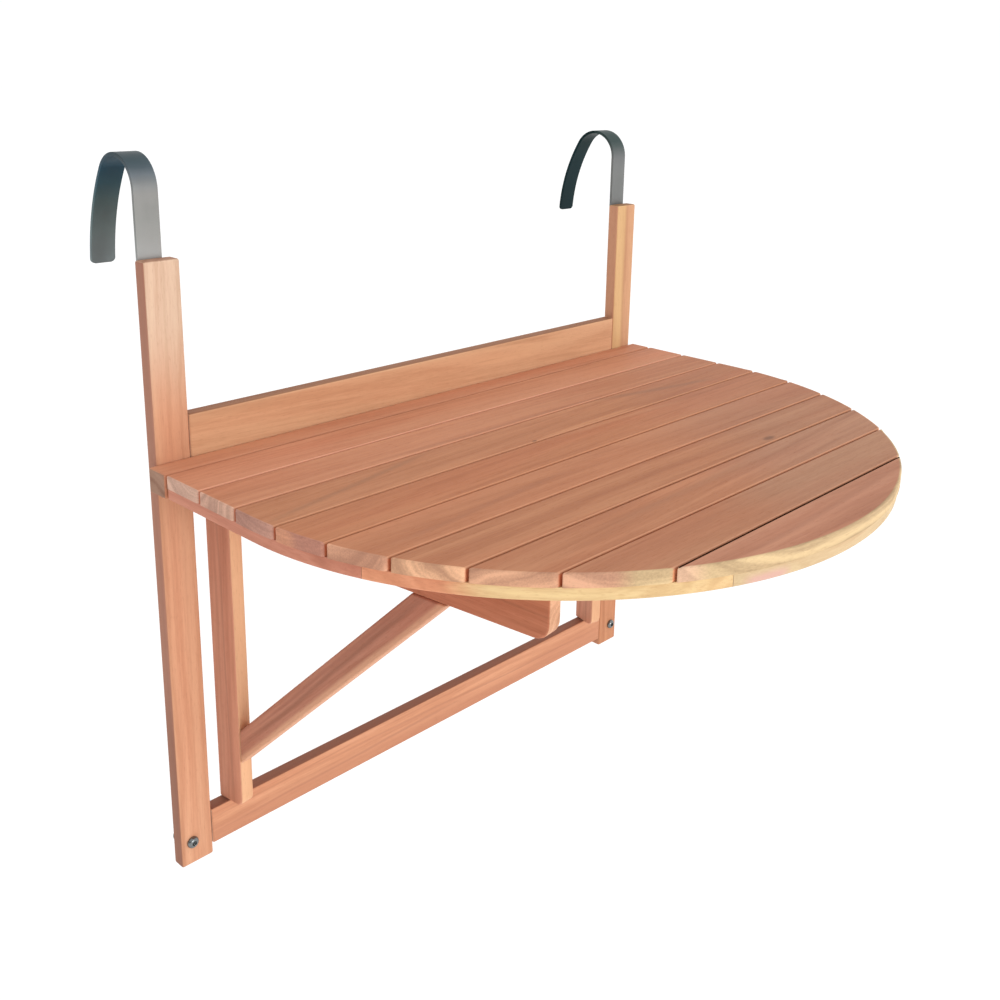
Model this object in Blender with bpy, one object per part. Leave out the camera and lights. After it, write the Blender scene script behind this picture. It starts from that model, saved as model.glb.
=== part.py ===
# Folding balcony side table that hangs on a handrail by two steel hooks.
# Metres, +Z up. The railing runs along X, the half-round top reaches out towards -Y.
# The world origin lies midway between the hooks, under their crowns, on top of the handrail.
# Inside the table frame, z = 0 is the uprights' feet and y = 0 is the uprights' front face.
import math

import bmesh
import bpy
from mathutils import Matrix, Vector

# Driving dimensions of the frame
BOARD = 0.013  # thickness of the uprights, rails and brackets
UPRIGHT_WIDTH = 0.030
UPRIGHT_HEIGHT = 0.523
FRAME_INSET = 0.007  # from the top's side in to each upright's outer face
LOWER_RAIL_HEIGHT = 0.034
LOWER_RAIL_FOOT = 0.009  # underside of the lower rail above the uprights' feet
UPPER_RAIL_STAND = 0.0345  # how far the upper rail stands above the tabletop
TENON_LENGTH = 0.012
TENON_THICKNESS = 0.006
TENON_SHOULDER = 0.006  # rail height above and below each tenon

# Driving dimensions of the top
TOP_HEIGHT = 0.3655  # tabletop surface above the uprights' feet
TOP_WIDTH = 0.600
PLANK_COUNT = 9
PLANK_WIDTH = 0.0433
PLANK_GAP = 0.0024
PLANK_THICKNESS = 0.010
BATTEN_WIDTH = 0.0227
RIM_THICKNESS = 0.010
RIM_WIDTH = 0.040
RIM_INSET = 0.0015  # the rim lies this far inside the plank ends
RIM_JOINTS = (19.4, 67.0)  # degrees from the side to each joint between rim pieces
REAR_RAIL_WIDTH = 0.040
CENTRE_BATTEN_WIDTH = 0.040

# Driving dimensions of the two swinging brackets
POST_WIDTH = 0.030
POST_TOE_RADIUS = 0.008
PIVOT_INSET = 0.0236  # from an upright's inner face to the bracket's pivot
ARM_HEIGHT = 0.0375
ARM_REACH = 0.338  # from the pivot to the arm's front end
ARM_NOSE_RADIUS = 0.013
BRACE_WIDTH = 0.0228
BRACE_ANGLE = 44.0  # degrees above the horizontal
BRACE_FOOT = 0.0435  # lower edge of the brace above the post's foot
LEFT_SWING = 6.9  # degrees in from square, as the table stands
RIGHT_SWING = 11.6
PIVOT_RADIUS = 0.0025
PIVOT_DEPTH = 0.013  # how far a pivot pin enters each piece

# Driving dimensions of the hooks and their screws
HOOK_WIDTH = 0.020
HOOK_THICKNESS = 0.003
HOOK_REACH = 0.030  # from the near leg back to the handrail's middle
HOOK_BEND = 0.024  # inside radius of the crown's bend
HOOK_TURN = 147.0  # degrees that the crown's bend turns through
HOOK_SWEEP = 0.160  # inside radius of the free leg's long curve
HOOK_RISE = 0.077  # crown above the uprights' tops
HOOK_LEG = 0.080  # overlap with the upright
HOOK_DROP = 0.090  # free end below the crown
HOOK_TIP_RADIUS = 0.004
HOOK_SHIFTS = (-0.0018, 0.0)  # the left hook sits off its upright's middle, the right one does not
HOOK_SCREW_DROPS = (0.020, 0.060)  # below the uprights' tops
SCREW_RADIUS = 0.002
SCREW_HEAD_RADIUS = 0.004
SCREW_HEAD_HEIGHT = 0.0024
HEAD_WALL = 0.55  # share of a screw head's height below its rounded crown
HEAD_CROWN = 0.7  # share of a screw head's radius that its flat top covers
SCREW_POINT = 1.6  # length of a screw's point in shank radii
HOOK_SCREW_BITE = 0.009  # length of a hook screw in the wood
BATTEN_SCREW_BITE = 0.014  # length of a batten screw in the batten
BATTEN_SCREW_PITCH = 0.180

# Driving dimensions of the bolts and pads at the uprights' feet
BOLT_RADIUS = 0.003
BOLT_HEAD_RADIUS = 0.00525
BOLT_HEAD_HEIGHT = 0.0033
BOLT_HEAD_CURVE = ((1.0, 0.25), (0.85, 0.75), (0.55, 1.0))  # (radius, height) shares of the dome
BOLT_TIP = 0.8  # share of the bolt's radius left at its tip
BOLT_SOCKET = 0.004  # across the flats
BOLT_SOCKET_DEPTH = 0.002
BOLT_EDGE = 0.0105  # from an upright's outer edge
BOLT_HEIGHT = 0.0215
NUT_FLATS = 0.010
NUT_THICKNESS = 0.005
PAD_RADIUS = 0.008
PAD_THICKNESS = 0.005
PAD_SOCKET_DEPTH = 0.0033

# Driving dimensions of the two butt hinges under the top
HINGE_LENGTH = 0.030
HINGE_SHIFT = 0.006  # from the middle of the rim's width in to the middle of a hinge
LEAF_WIDTH = 0.019
LEAF_THICKNESS = 0.0015
BARREL_RADIUS = 0.0026
HINGE_PIN_RADIUS = 0.0012
HINGE_SCREW_RADIUS = 0.0013
HINGE_SCREW_HEAD_RADIUS = 0.0028
HINGE_SCREW_HEAD_HEIGHT = 0.0014
HINGE_SCREW_BITE = 0.0075
HINGE_SCREW_SPREAD = 0.016
LEAF_SHY = 0.0001  # a leaf's plate stops this short of its barrels

# Clearances and finish
SEAT_GAP = 0.0003  # between pieces that are fixed to each other
RUNNING_GAP = 0.0005  # between a bracket and what it swings past
HOLE_EASE = 0.0003  # bore radius over the radius of what it holds
EDGE_ROUND = 0.0016
PLANK_ROUND = 0.0022
METAL_ROUND = 0.0003
ARC_STEP = 3.0  # degrees per facet on the top's outline
BEND_STEPS = 18  # facets of a hook's bend
SWEEP_STEPS = 8  # facets of a free leg's long curve
CORNER_STEPS = 6  # facets of a rounded board corner
ROUND_SIDES = 24  # facets of a bolt head or a pad
SMALL_SIDES = 12  # facets of screws, pins and their holes
TIP_STEPS = 4  # facets of a rounded hook corner
SMOOTH_ANGLE = 35.0  # degrees between faces that still shade as one
SHARP_ANGLE = 40.0  # degrees between faces whose edge is rounded

# Levels and places that follow from the sizes above
FRAME_WIDTH = TOP_WIDTH - 2 * FRAME_INSET
UNDERSIDE = TOP_HEIGHT - PLANK_THICKNESS - RIM_THICKNESS
PLANK_FLOOR = TOP_HEIGHT - PLANK_THICKNESS
UPPER_RAIL_TOP = TOP_HEIGHT + UPPER_RAIL_STAND
LOWER_RAIL_TOP = LOWER_RAIL_FOOT + LOWER_RAIL_HEIGHT
INNER_FACE = FRAME_WIDTH / 2 - UPRIGHT_WIDTH
BATTEN_FRONT = -SEAT_GAP - BATTEN_WIDTH
TOP_BACK = BATTEN_FRONT - PLANK_GAP
TOP_FRONT = TOP_BACK - PLANK_COUNT * (PLANK_WIDTH + PLANK_GAP) + PLANK_GAP
TOP_RADIUS = TOP_WIDTH / 2
ARC_Y = TOP_FRONT + TOP_RADIUS
RIM_RADIUS = TOP_RADIUS - RIM_INSET
RIM_INNER = RIM_RADIUS - RIM_WIDTH
PIVOT_X = INNER_FACE - PIVOT_INSET
PIVOT_Y = BOARD / 2
BRACKET_FOOT = LOWER_RAIL_TOP + RUNNING_GAP
BRACKET_TOP = UNDERSIDE - RUNNING_GAP
HINGE_X = RIM_RADIUS - RIM_WIDTH / 2 - HINGE_SHIFT
HINGE_Y = BATTEN_FRONT - PLANK_GAP / 2
HINGE_Z = UNDERSIDE - SEAT_GAP - BARREL_RADIUS
BOLT_X = FRAME_WIDTH / 2 - BOLT_EDGE
HOOK_BACK = BOARD + SEAT_GAP + HOOK_THICKNESS
HANDRAIL_Y = HOOK_BACK + HOOK_REACH
HANDRAIL_Z = UPRIGHT_HEIGHT + HOOK_RISE - HOOK_THICKNESS

# (colour, roughness, metallic) of each material
FINISHES = {
    "oiled_wood": ((0.46, 0.20, 0.095), 0.55, 0.0),
    "oiled_wood_light": ((0.56, 0.27, 0.13), 0.55, 0.0),
    "oiled_wood_dark": ((0.36, 0.14, 0.07), 0.55, 0.0),
    "rim_sapwood": ((0.66, 0.36, 0.16), 0.55, 0.0),
    "hook_steel": ((0.22, 0.25, 0.26), 0.38, 1.0),
    "zinc_steel": ((0.48, 0.48, 0.47), 0.35, 1.0),
    "dark_steel": ((0.10, 0.11, 0.11), 0.35, 1.0),
    "rubber": ((0.02, 0.02, 0.02), 0.80, 0.0),
}


def clear_scene():
    for obj in list(bpy.data.objects):
        bpy.data.objects.remove(obj, do_unlink=True)


def finish(name):
    """Returns the material of that name, made the first time it is asked for."""
    found = bpy.data.materials.get(name)
    if found:
        return found
    colour, roughness, metallic = FINISHES[name]
    made = bpy.data.materials.new(name)
    made.use_nodes = True
    shader = made.node_tree.nodes["Principled BSDF"]
    shader.inputs["Base Color"].default_value = (*colour, 1.0)
    shader.inputs["Roughness"].default_value = roughness
    shader.inputs["Metallic"].default_value = metallic
    made.diffuse_color = (*colour, 1.0)
    return made


def empty(name, spot, parent=None, turn=0.0):
    """Adds an empty at a spot of the table frame, turned about Z by an angle in degrees."""
    holder = bpy.data.objects.new(name, None)
    bpy.context.collection.objects.link(holder)
    holder.parent = parent
    holder.location = spot
    holder.rotation_euler.z = math.radians(turn)
    return holder


def link_mesh(name, shape, material):
    """Turns a bmesh into an object with outward faces."""
    bmesh.ops.recalc_face_normals(shape, faces=shape.faces)
    mesh = bpy.data.meshes.new(name)
    shape.to_mesh(mesh)
    shape.free()
    obj = bpy.data.objects.new(name, mesh)
    if material:
        mesh.materials.append(finish(material))
    bpy.context.collection.objects.link(obj)
    return obj


def seat(obj, spot, parent):
    """Puts an object at a spot given in its parent's frame."""
    obj.parent = parent
    obj.location = spot
    return obj


def box(name, size, material):
    """A box of that size about its own middle."""
    shape = bmesh.new()
    bmesh.ops.create_cube(shape, size=1.0)
    bmesh.ops.scale(shape, vec=size, verts=shape.verts)
    return link_mesh(name, shape, material)


def prism(name, outline, thickness, material, lie=None):
    """Extrudes a closed outline in XY by a thickness along Z, then turns it by a matrix."""
    shape = bmesh.new()
    corners = [shape.verts.new((x, y, 0.0)) for x, y in outline]
    face = shape.faces.new(corners)
    grown = bmesh.ops.extrude_face_region(shape, geom=[face])
    raised = [item for item in grown["geom"] if isinstance(item, bmesh.types.BMVert)]
    bmesh.ops.translate(shape, vec=(0, 0, thickness), verts=raised)
    if lie:
        bmesh.ops.transform(shape, matrix=lie, verts=shape.verts)
    return link_mesh(name, shape, material)


def turned(name, profile, material, sides=SMALL_SIDES):
    """Spins a profile of (radius, height) points, from axis to axis, about Z."""
    shape = bmesh.new()
    rings = []
    for radius, height in profile:
        if radius == 0:
            rings.append([shape.verts.new((0, 0, height))])
            continue
        angles = [2 * math.pi * (step + 0.5) / sides for step in range(sides)]
        rings.append([shape.verts.new((radius * math.cos(a), radius * math.sin(a), height)) for a in angles])
    for low, high in zip(rings, rings[1:]):
        for step in range(sides):
            after = (step + 1) % sides
            if len(low) == 1:
                shape.faces.new((low[0], high[step], high[after]))
            elif len(high) == 1:
                shape.faces.new((low[after], low[step], high[0]))
            else:
                shape.faces.new((low[step], low[after], high[after], high[step]))
    return smooth(link_mesh(name, shape, material))


def rod(name, radius, length, material=None, sides=SMALL_SIDES):
    """A plain cylinder along Z about its own middle."""
    half = length / 2
    return turned(name, [(0, -half), (radius, -half), (radius, half), (0, half)], material, sides)


def smooth(obj):
    obj.data.shade_smooth()
    obj.data.set_sharp_from_angle(angle=math.radians(SMOOTH_ANGLE))
    return obj


def round_edges(obj, width, segments=2):
    """Rounds the object's sharp edges."""
    bevel = obj.modifiers.new("rounded edges", "BEVEL")
    bevel.width = width
    bevel.segments = segments
    bevel.limit_method = "ANGLE"
    bevel.angle_limit = math.radians(SHARP_ANGLE)
    return obj


def combine(obj, tool, operation):
    """Cuts a tool out of an object, or joins it on. The tool is placed in the object's own frame."""
    tool.parent = obj
    tool.hide_render = True
    tool.display_type = "WIRE"
    modifier = obj.modifiers.new(tool.name, "BOOLEAN")
    modifier.operation = operation
    modifier.solver = "EXACT"
    modifier.object = tool
    return obj


def bore(obj, spot, direction, radius, depth, sides=SMALL_SIDES):
    """Drills a hole from a spot on the surface, in the object's own frame."""
    way = Vector(direction)
    tool = rod(obj.name + " drill", radius, 2 * depth, None, sides)
    tool.rotation_mode = "QUATERNION"
    tool.rotation_quaternion = way.to_track_quat("Z", "Y")
    tool.location = spot
    return combine(obj, tool, "DIFFERENCE")


def screw(name, radius, length, head_radius, head_height, material):
    """A pan-head screw along Z. Its head sits on z = 0 and its point is at -length."""
    profile = [
        (0, -length),
        (radius, SCREW_POINT * radius - length),
        (radius, 0),
        (head_radius, 0),
        (head_radius, HEAD_WALL * head_height),
        (HEAD_CROWN * head_radius, head_height),
        (0, head_height),
    ]
    return turned(name, profile, material)


def spread(start, stop):
    """Angles in degrees from start to stop, evenly spread and about ARC_STEP apart."""
    steps = max(1, round(abs(stop - start) / ARC_STEP))
    return [start + (stop - start) * step / steps for step in range(steps + 1)]


def arc(radius, start, stop):
    """Points on the top's outline circle. 0 degrees is its left side, 90 its front."""
    angles = [math.radians(angle) for angle in spread(start, stop)]
    return [(-radius * math.cos(a), ARC_Y - radius * math.sin(a)) for a in angles]


def frame_boards(root):
    """The two uprights and the two rails that are tenoned into them."""
    rails = (
        ("lower_rail", LOWER_RAIL_FOOT, LOWER_RAIL_TOP, "oiled_wood"),
        ("upper_rail", UNDERSIDE, UPPER_RAIL_TOP, "oiled_wood_light"),
    )
    uprights = {}
    for side, name in ((-1, "left_upright"), (1, "right_upright")):
        upright = box(name, (UPRIGHT_WIDTH, BOARD, UPRIGHT_HEIGHT), "oiled_wood_light")
        seat(upright, (side * (FRAME_WIDTH - UPRIGHT_WIDTH) / 2, BOARD / 2, UPRIGHT_HEIGHT / 2), root)
        uprights[side] = round_edges(upright, EDGE_ROUND)
    for name, low, high, material in rails:
        height = high - low
        rail = box(name, (2 * (INNER_FACE - SEAT_GAP), BOARD, height), material)
        seat(rail, (0, BOARD / 2, (low + high) / 2), root)
        round_edges(rail, EDGE_ROUND)
        tongue_height = height - 2 * TENON_SHOULDER
        tongue_length = 2 * (INNER_FACE + TENON_LENGTH)
        tongue = box(name + " tenons", (tongue_length, TENON_THICKNESS, tongue_height), None)
        combine(rail, tongue, "UNION")
        for side, upright in uprights.items():
            hole = (
                2 * (TENON_LENGTH + SEAT_GAP),
                TENON_THICKNESS + 2 * SEAT_GAP,
                tongue_height + 2 * SEAT_GAP,
            )
            mortise = box(upright.name + " " + name + " mortise", hole, None)
            mortise.location = (-side * UPRIGHT_WIDTH / 2, 0, (low + high - UPRIGHT_HEIGHT) / 2)
            combine(upright, mortise, "DIFFERENCE")
    return uprights


def outward(turned):
    """The direction out of a hook's bend, as (y, z), where the strip has turned that far from upright."""
    return Vector((-math.cos(turned), math.sin(turned)))


def hook_face(depth):
    """One face of the bent strip, as (y, z) in the table frame, at a depth out from its inner face."""
    turn = math.radians(HOOK_TURN)
    crown = Vector((HOOK_BACK + HOOK_BEND, HANDRAIL_Z - HOOK_BEND))
    far = crown - (HOOK_SWEEP - HOOK_BEND) * outward(turn)
    tip = UPRIGHT_HEIGHT + HOOK_RISE - HOOK_DROP
    end = math.pi - math.asin((tip - far.y) / (HOOK_SWEEP + depth))
    points = [Vector((HOOK_BACK - depth, UPRIGHT_HEIGHT - HOOK_LEG))]
    for step in range(BEND_STEPS + 1):
        points.append(crown + (HOOK_BEND + depth) * outward(turn * step / BEND_STEPS))
    for step in range(1, SWEEP_STEPS + 1):
        points.append(far + (HOOK_SWEEP + depth) * outward(turn + (end - turn) * step / SWEEP_STEPS))
    return points


def hook_profile():
    """The bent strip's outline: down the outer face, back up the inner one."""
    return hook_face(HOOK_THICKNESS) + hook_face(0.0)[::-1]


def round_tip(obj):
    """Rounds the free end of a hook, across the strip's width."""
    shape = bmesh.new()
    shape.from_mesh(obj.data)
    ceiling = UPRIGHT_HEIGHT + HOOK_RISE - HOOK_DROP + HOOK_THICKNESS
    tip = []
    for edge in shape.edges:
        outside = all(vert.co.z < ceiling and vert.co.y > HANDRAIL_Y for vert in edge.verts)
        if outside and HOOK_THICKNESS / 2 < edge.calc_length() < 2 * HOOK_THICKNESS:
            tip.append(edge)
    bmesh.ops.bevel(shape, geom=tip, offset=HOOK_TIP_RADIUS, segments=TIP_STEPS, profile=0.5, affect="EDGES")
    bmesh.ops.recalc_face_normals(shape, faces=shape.faces)
    shape.to_mesh(obj.data)
    shape.free()
    return obj


def hooks(root, uprights):
    """The flat steel hooks behind the uprights, with two screws each."""
    stand = Matrix(((0, 0, 1, 0), (1, 0, 0, 0), (0, 1, 0, 0), (0, 0, 0, 1)))
    for side, word, shift in zip((-1, 1), ("left", "right"), HOOK_SHIFTS):
        middle = side * (FRAME_WIDTH - UPRIGHT_WIDTH) / 2 + shift
        outline = [tuple(point) for point in hook_profile()]
        hook = prism(word + "_hook", outline, HOOK_WIDTH, "hook_steel", stand)
        round_tip(hook)
        smooth(hook)
        seat(hook, (middle - HOOK_WIDTH / 2, 0, 0), root)
        round_edges(hook, METAL_ROUND, 1)
        for number, drop in enumerate(HOOK_SCREW_DROPS, 1):
            height = UPRIGHT_HEIGHT - drop
            length = HOOK_THICKNESS + 2 * SEAT_GAP + HOOK_SCREW_BITE
            hole = SCREW_RADIUS + HOLE_EASE
            bore(hook, (HOOK_WIDTH / 2, HOOK_BACK, height), (0, -1, 0), hole, 2 * HOOK_THICKNESS)
            drilled = Vector((middle, BOARD, height)) - uprights[side].location
            bore(uprights[side], drilled, (0, -1, 0), hole, HOOK_SCREW_BITE + SEAT_GAP)
            name = f"{word}_hook_screw_{number}"
            pin = screw(name, SCREW_RADIUS, length, SCREW_HEAD_RADIUS, SCREW_HEAD_HEIGHT, "zinc_steel")
            pin.rotation_euler.x = -math.pi / 2
            seat(pin, (middle, HOOK_BACK + SEAT_GAP, height), root)


def feet(root, uprights):
    """The bolt, nut and bearing pad through each upright's foot."""
    pocket = NUT_FLATS / math.sqrt(3) + HOLE_EASE
    reach = BOARD + PAD_SOCKET_DEPTH
    for side, word in ((-1, "left"), (1, "right")):
        x = side * BOLT_X
        upright = uprights[side]
        front = Vector((x, 0, BOLT_HEIGHT)) - upright.location
        back = Vector((x, BOARD, BOLT_HEIGHT)) - upright.location
        bore(upright, front, (0, 1, 0), BOLT_RADIUS + HOLE_EASE, 2 * BOARD)
        bore(upright, back, (0, -1, 0), pocket, NUT_THICKNESS + 2 * SEAT_GAP, ROUND_SIDES)
        profile = [
            (0, -reach - SEAT_GAP),
            (BOLT_TIP * BOLT_RADIUS, -reach - SEAT_GAP),
            (BOLT_RADIUS, -reach),
            (BOLT_RADIUS, 0),
            (BOLT_HEAD_RADIUS, 0),
            *[(wide * BOLT_HEAD_RADIUS, high * BOLT_HEAD_HEIGHT) for wide, high in BOLT_HEAD_CURVE],
            (0, BOLT_HEAD_HEIGHT),
        ]
        bolt = turned(word + "_bolt", profile, "dark_steel", ROUND_SIDES)
        socket = prism(bolt.name + " socket", hexagon(BOLT_SOCKET), 2 * BOLT_SOCKET_DEPTH, None)
        socket.location.z = BOLT_HEAD_HEIGHT - BOLT_SOCKET_DEPTH
        combine(bolt, socket, "DIFFERENCE")
        bolt.rotation_euler.x = math.pi / 2
        seat(bolt, (x, -SEAT_GAP, BOLT_HEIGHT), root)
        nut = prism(word + "_bolt_nut", hexagon(NUT_FLATS), NUT_THICKNESS, "zinc_steel")
        nut.rotation_euler.x = math.pi / 2
        seat(nut, (x, BOARD - SEAT_GAP, BOLT_HEIGHT), root)
        bore(nut, (0, 0, 0), (0, 0, 1), BOLT_RADIUS + HOLE_EASE, 2 * NUT_THICKNESS)
        pad = rod(word + "_pad", PAD_RADIUS, PAD_THICKNESS, "rubber", ROUND_SIDES)
        pad.rotation_euler.x = math.pi / 2
        seat(pad, (x, BOARD + SEAT_GAP + PAD_THICKNESS / 2, BOLT_HEIGHT), root)
        bore(pad, (0, 0, PAD_THICKNESS / 2), (0, 0, -1), BOLT_RADIUS + HOLE_EASE, PAD_SOCKET_DEPTH)


def hexagon(flats):
    """The corners of a hexagon, from its size across the flats."""
    radius = flats / math.sqrt(3)
    return [(radius * math.cos(math.pi * k / 3), radius * math.sin(math.pi * k / 3)) for k in range(6)]


def batten(root):
    """The fixed strip that carries the top's hinges, with its screws through the upper rail."""
    height = TOP_HEIGHT - UNDERSIDE
    middle = Vector((0, -SEAT_GAP - BATTEN_WIDTH / 2, TOP_HEIGHT - height / 2))
    strip = box("hinge_batten", (TOP_WIDTH, BATTEN_WIDTH, height), "oiled_wood")
    seat(strip, middle, root)
    round_edges(strip, EDGE_ROUND)
    rail = bpy.data.objects["upper_rail"]
    length = BOARD + 2 * SEAT_GAP + BATTEN_SCREW_BITE
    hole = SCREW_RADIUS + HOLE_EASE
    for number in (1, 2, 3):
        x = (number - 2) * BATTEN_SCREW_PITCH
        back = Vector((x, BOARD, middle.z))
        bore(rail, back - rail.location, (0, -1, 0), hole, 2 * BOARD)
        face = Vector((x, -SEAT_GAP, middle.z))
        bore(strip, face - middle, (0, -1, 0), hole, BATTEN_SCREW_BITE + SEAT_GAP)
        name = f"batten_screw_{number}"
        pin = screw(name, SCREW_RADIUS, length, SCREW_HEAD_RADIUS, SCREW_HEAD_HEIGHT, "zinc_steel")
        pin.rotation_euler.x = -math.pi / 2
        seat(pin, (x, BOARD + SEAT_GAP, middle.z), root)
    return strip


def side_points(back, front):
    """Points of the top's left side from one y to another: straight at first, then along the circle."""
    points = []
    if back > ARC_Y:
        points.append((-TOP_RADIUS, back))
    start = max(0.0, (ARC_Y - back) / TOP_RADIUS)
    stop = max(0.0, min(1.0, (ARC_Y - front) / TOP_RADIUS))
    if stop <= 0:
        points.append((-TOP_RADIUS, front))
        return points
    return points + arc(TOP_RADIUS, math.degrees(math.asin(start)), math.degrees(math.asin(stop)))


def planks(pivot):
    """The nine planks, cut to the half-round outline."""
    tones = ("oiled_wood", "oiled_wood_light", "oiled_wood_dark")
    for number in range(PLANK_COUNT):
        back = TOP_BACK - number * (PLANK_WIDTH + PLANK_GAP)
        front = back - PLANK_WIDTH
        left = side_points(back, front)
        right = [(-x, y) for x, y in reversed(left)]
        if abs(left[-1][0]) < SEAT_GAP:
            right = right[1:]
        outline = [(x, y - back) for x, y in left + right]
        plank = prism(f"plank_{number + 1}", outline, PLANK_THICKNESS, tones[number % 3])
        seat(plank, Vector((0, back, PLANK_FLOOR)) - pivot.location, pivot)
        round_edges(plank, PLANK_ROUND)


def rim(pivot):
    """The rim under the plank ends, in five pieces, with the rear rail and the centre batten."""
    height = RIM_THICKNESS - SEAT_GAP
    floor = Vector((0, 0, UNDERSIDE)) - pivot.location
    slip = math.degrees(SEAT_GAP / RIM_INNER) / 2
    first, second = RIM_JOINTS
    start = [(-RIM_RADIUS, TOP_BACK)] + arc(RIM_RADIUS, 0, first - slip)
    stop = arc(RIM_INNER, first - slip, 0) + [(-RIM_INNER, TOP_BACK)]
    side = start + stop
    curve = arc(RIM_RADIUS, first + slip, second - slip) + arc(RIM_INNER, second - slip, first + slip)
    front = arc(RIM_RADIUS, second + slip, 180 - second - slip)
    front += arc(RIM_INNER, 180 - second - slip, second + slip)
    pieces = (
        ("rim_left_side", side, "oiled_wood_dark"),
        ("rim_left_curve", curve, "oiled_wood_light"),
        ("rim_front", front, "rim_sapwood"),
        ("rim_right_curve", [(-x, y) for x, y in curve], "rim_sapwood"),
        ("rim_right_side", [(-x, y) for x, y in side], "oiled_wood_dark"),
    )
    made = {}
    for name, outline, material in pieces:
        made[name] = seat(prism(name, outline, height, material), floor, pivot)
        round_edges(made[name], EDGE_ROUND)
    rail_front = TOP_BACK - REAR_RAIL_WIDTH
    rail_size = (2 * (RIM_INNER - SEAT_GAP), REAR_RAIL_WIDTH, height)
    rear = box("rear_rail", rail_size, "oiled_wood")
    seat(rear, Vector((0, (TOP_BACK + rail_front) / 2, UNDERSIDE + height / 2)) - pivot.location, pivot)
    round_edges(rear, EDGE_ROUND)
    reach = ARC_Y - math.sqrt(RIM_INNER**2 - (CENTRE_BATTEN_WIDTH / 2) ** 2) + SEAT_GAP
    span = rail_front - SEAT_GAP - reach
    centre = box("centre_batten", (CENTRE_BATTEN_WIDTH, span, height), "oiled_wood")
    seat(centre, Vector((0, reach + span / 2, UNDERSIDE + height / 2)) - pivot.location, pivot)
    round_edges(centre, EDGE_ROUND)
    return made


def leaf(name, way, tabs):
    """One hinge leaf about the pin's axis along X. way is +1 for a leaf that reaches back, -1 forward."""
    notch = BARREL_RADIUS + SEAT_GAP
    end = HINGE_LENGTH / 2 - LEAF_SHY
    outline = [(-end, LEAF_WIDTH), (-end, notch)]
    for start, stop in tabs:
        left, right = start + LEAF_SHY, stop - LEAF_SHY
        outline += [(left, notch), (left, LEAF_SHY), (right, LEAF_SHY), (right, notch)]
    outline += [(end, notch), (end, LEAF_WIDTH)]
    outline = without_doubles(outline)
    flat = Matrix.Translation((0, 0, BARREL_RADIUS - LEAF_SHY - LEAF_THICKNESS))
    facing = Matrix.Diagonal((1, way, 1, 1))
    plate = prism(name, outline, LEAF_THICKNESS, "zinc_steel", flat @ facing)
    for number, (start, stop) in enumerate(tabs, 1):
        barrel = rod(f"{name} barrel {number}", BARREL_RADIUS, stop - start)
        barrel.rotation_euler.y = math.pi / 2
        barrel.location.x = (start + stop) / 2
        combine(plate, barrel, "UNION")
    bore(plate, (0, 0, 0), (1, 0, 0), HINGE_PIN_RADIUS + HOLE_EASE, HINGE_LENGTH)
    return plate


def without_doubles(outline):
    """Drops each corner that repeats the one before it."""
    kept = outline[:1]
    for point in outline[1:]:
        if (Vector(point) - Vector(kept[-1])).length > LEAF_SHY / 2:
            kept.append(point)
    return kept


def hinge(side, word, root, pivot, wood):
    """A butt hinge under one end of the batten: two leaves, a pin and four screws."""
    third = HINGE_LENGTH / 3
    slit = SEAT_GAP / 2
    middle = (-third / 2 + slit, third / 2 - slit)
    outer = ((-HINGE_LENGTH / 2, -third / 2 - slit), (third / 2 + slit, HINGE_LENGTH / 2))
    spot = Vector((side * HINGE_X, HINGE_Y, HINGE_Z))
    fixed = seat(leaf(word + "_fixed_leaf", 1, outer), spot, root)
    moving = seat(leaf(word + "_moving_leaf", -1, (middle,)), spot - pivot.location, pivot)
    pin = rod(word + "_hinge_pin", HINGE_PIN_RADIUS, HINGE_LENGTH, "zinc_steel")
    pin.rotation_euler.y = math.pi / 2
    seat(pin, spot, root)
    drill = HINGE_SCREW_RADIUS + HOLE_EASE
    length = LEAF_THICKNESS + 2 * SEAT_GAP + HINGE_SCREW_BITE
    under = BARREL_RADIUS - LEAF_SHY - LEAF_THICKNESS
    out = (LEAF_WIDTH + BARREL_RADIUS) / 2
    for plate, way, holder, kind in ((fixed, 1, root, "fixed"), (moving, -1, pivot, "moving")):
        base = Vector() if holder == root else pivot.location
        for number in (1, 2):
            x = (number - 1.5) * HINGE_SCREW_SPREAD
            bore(plate, (x, way * out, under), (0, 0, 1), drill, 2 * LEAF_THICKNESS)
            hole = spot + Vector((x, way * out, 0))
            hole.z = UNDERSIDE
            timber = wood[kind]
            bore(timber, hole - base - timber.location, (0, 0, 1), drill, HINGE_SCREW_BITE + SEAT_GAP)
            name = f"{word}_{kind}_leaf_screw_{number}"
            sizes = (HINGE_SCREW_RADIUS, length, HINGE_SCREW_HEAD_RADIUS, HINGE_SCREW_HEAD_HEIGHT)
            fixing = screw(name, *sizes, "zinc_steel")
            fixing.rotation_euler.x = math.pi
            place = spot + Vector((x, way * out, under - SEAT_GAP))
            seat(fixing, place - base, holder)


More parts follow.
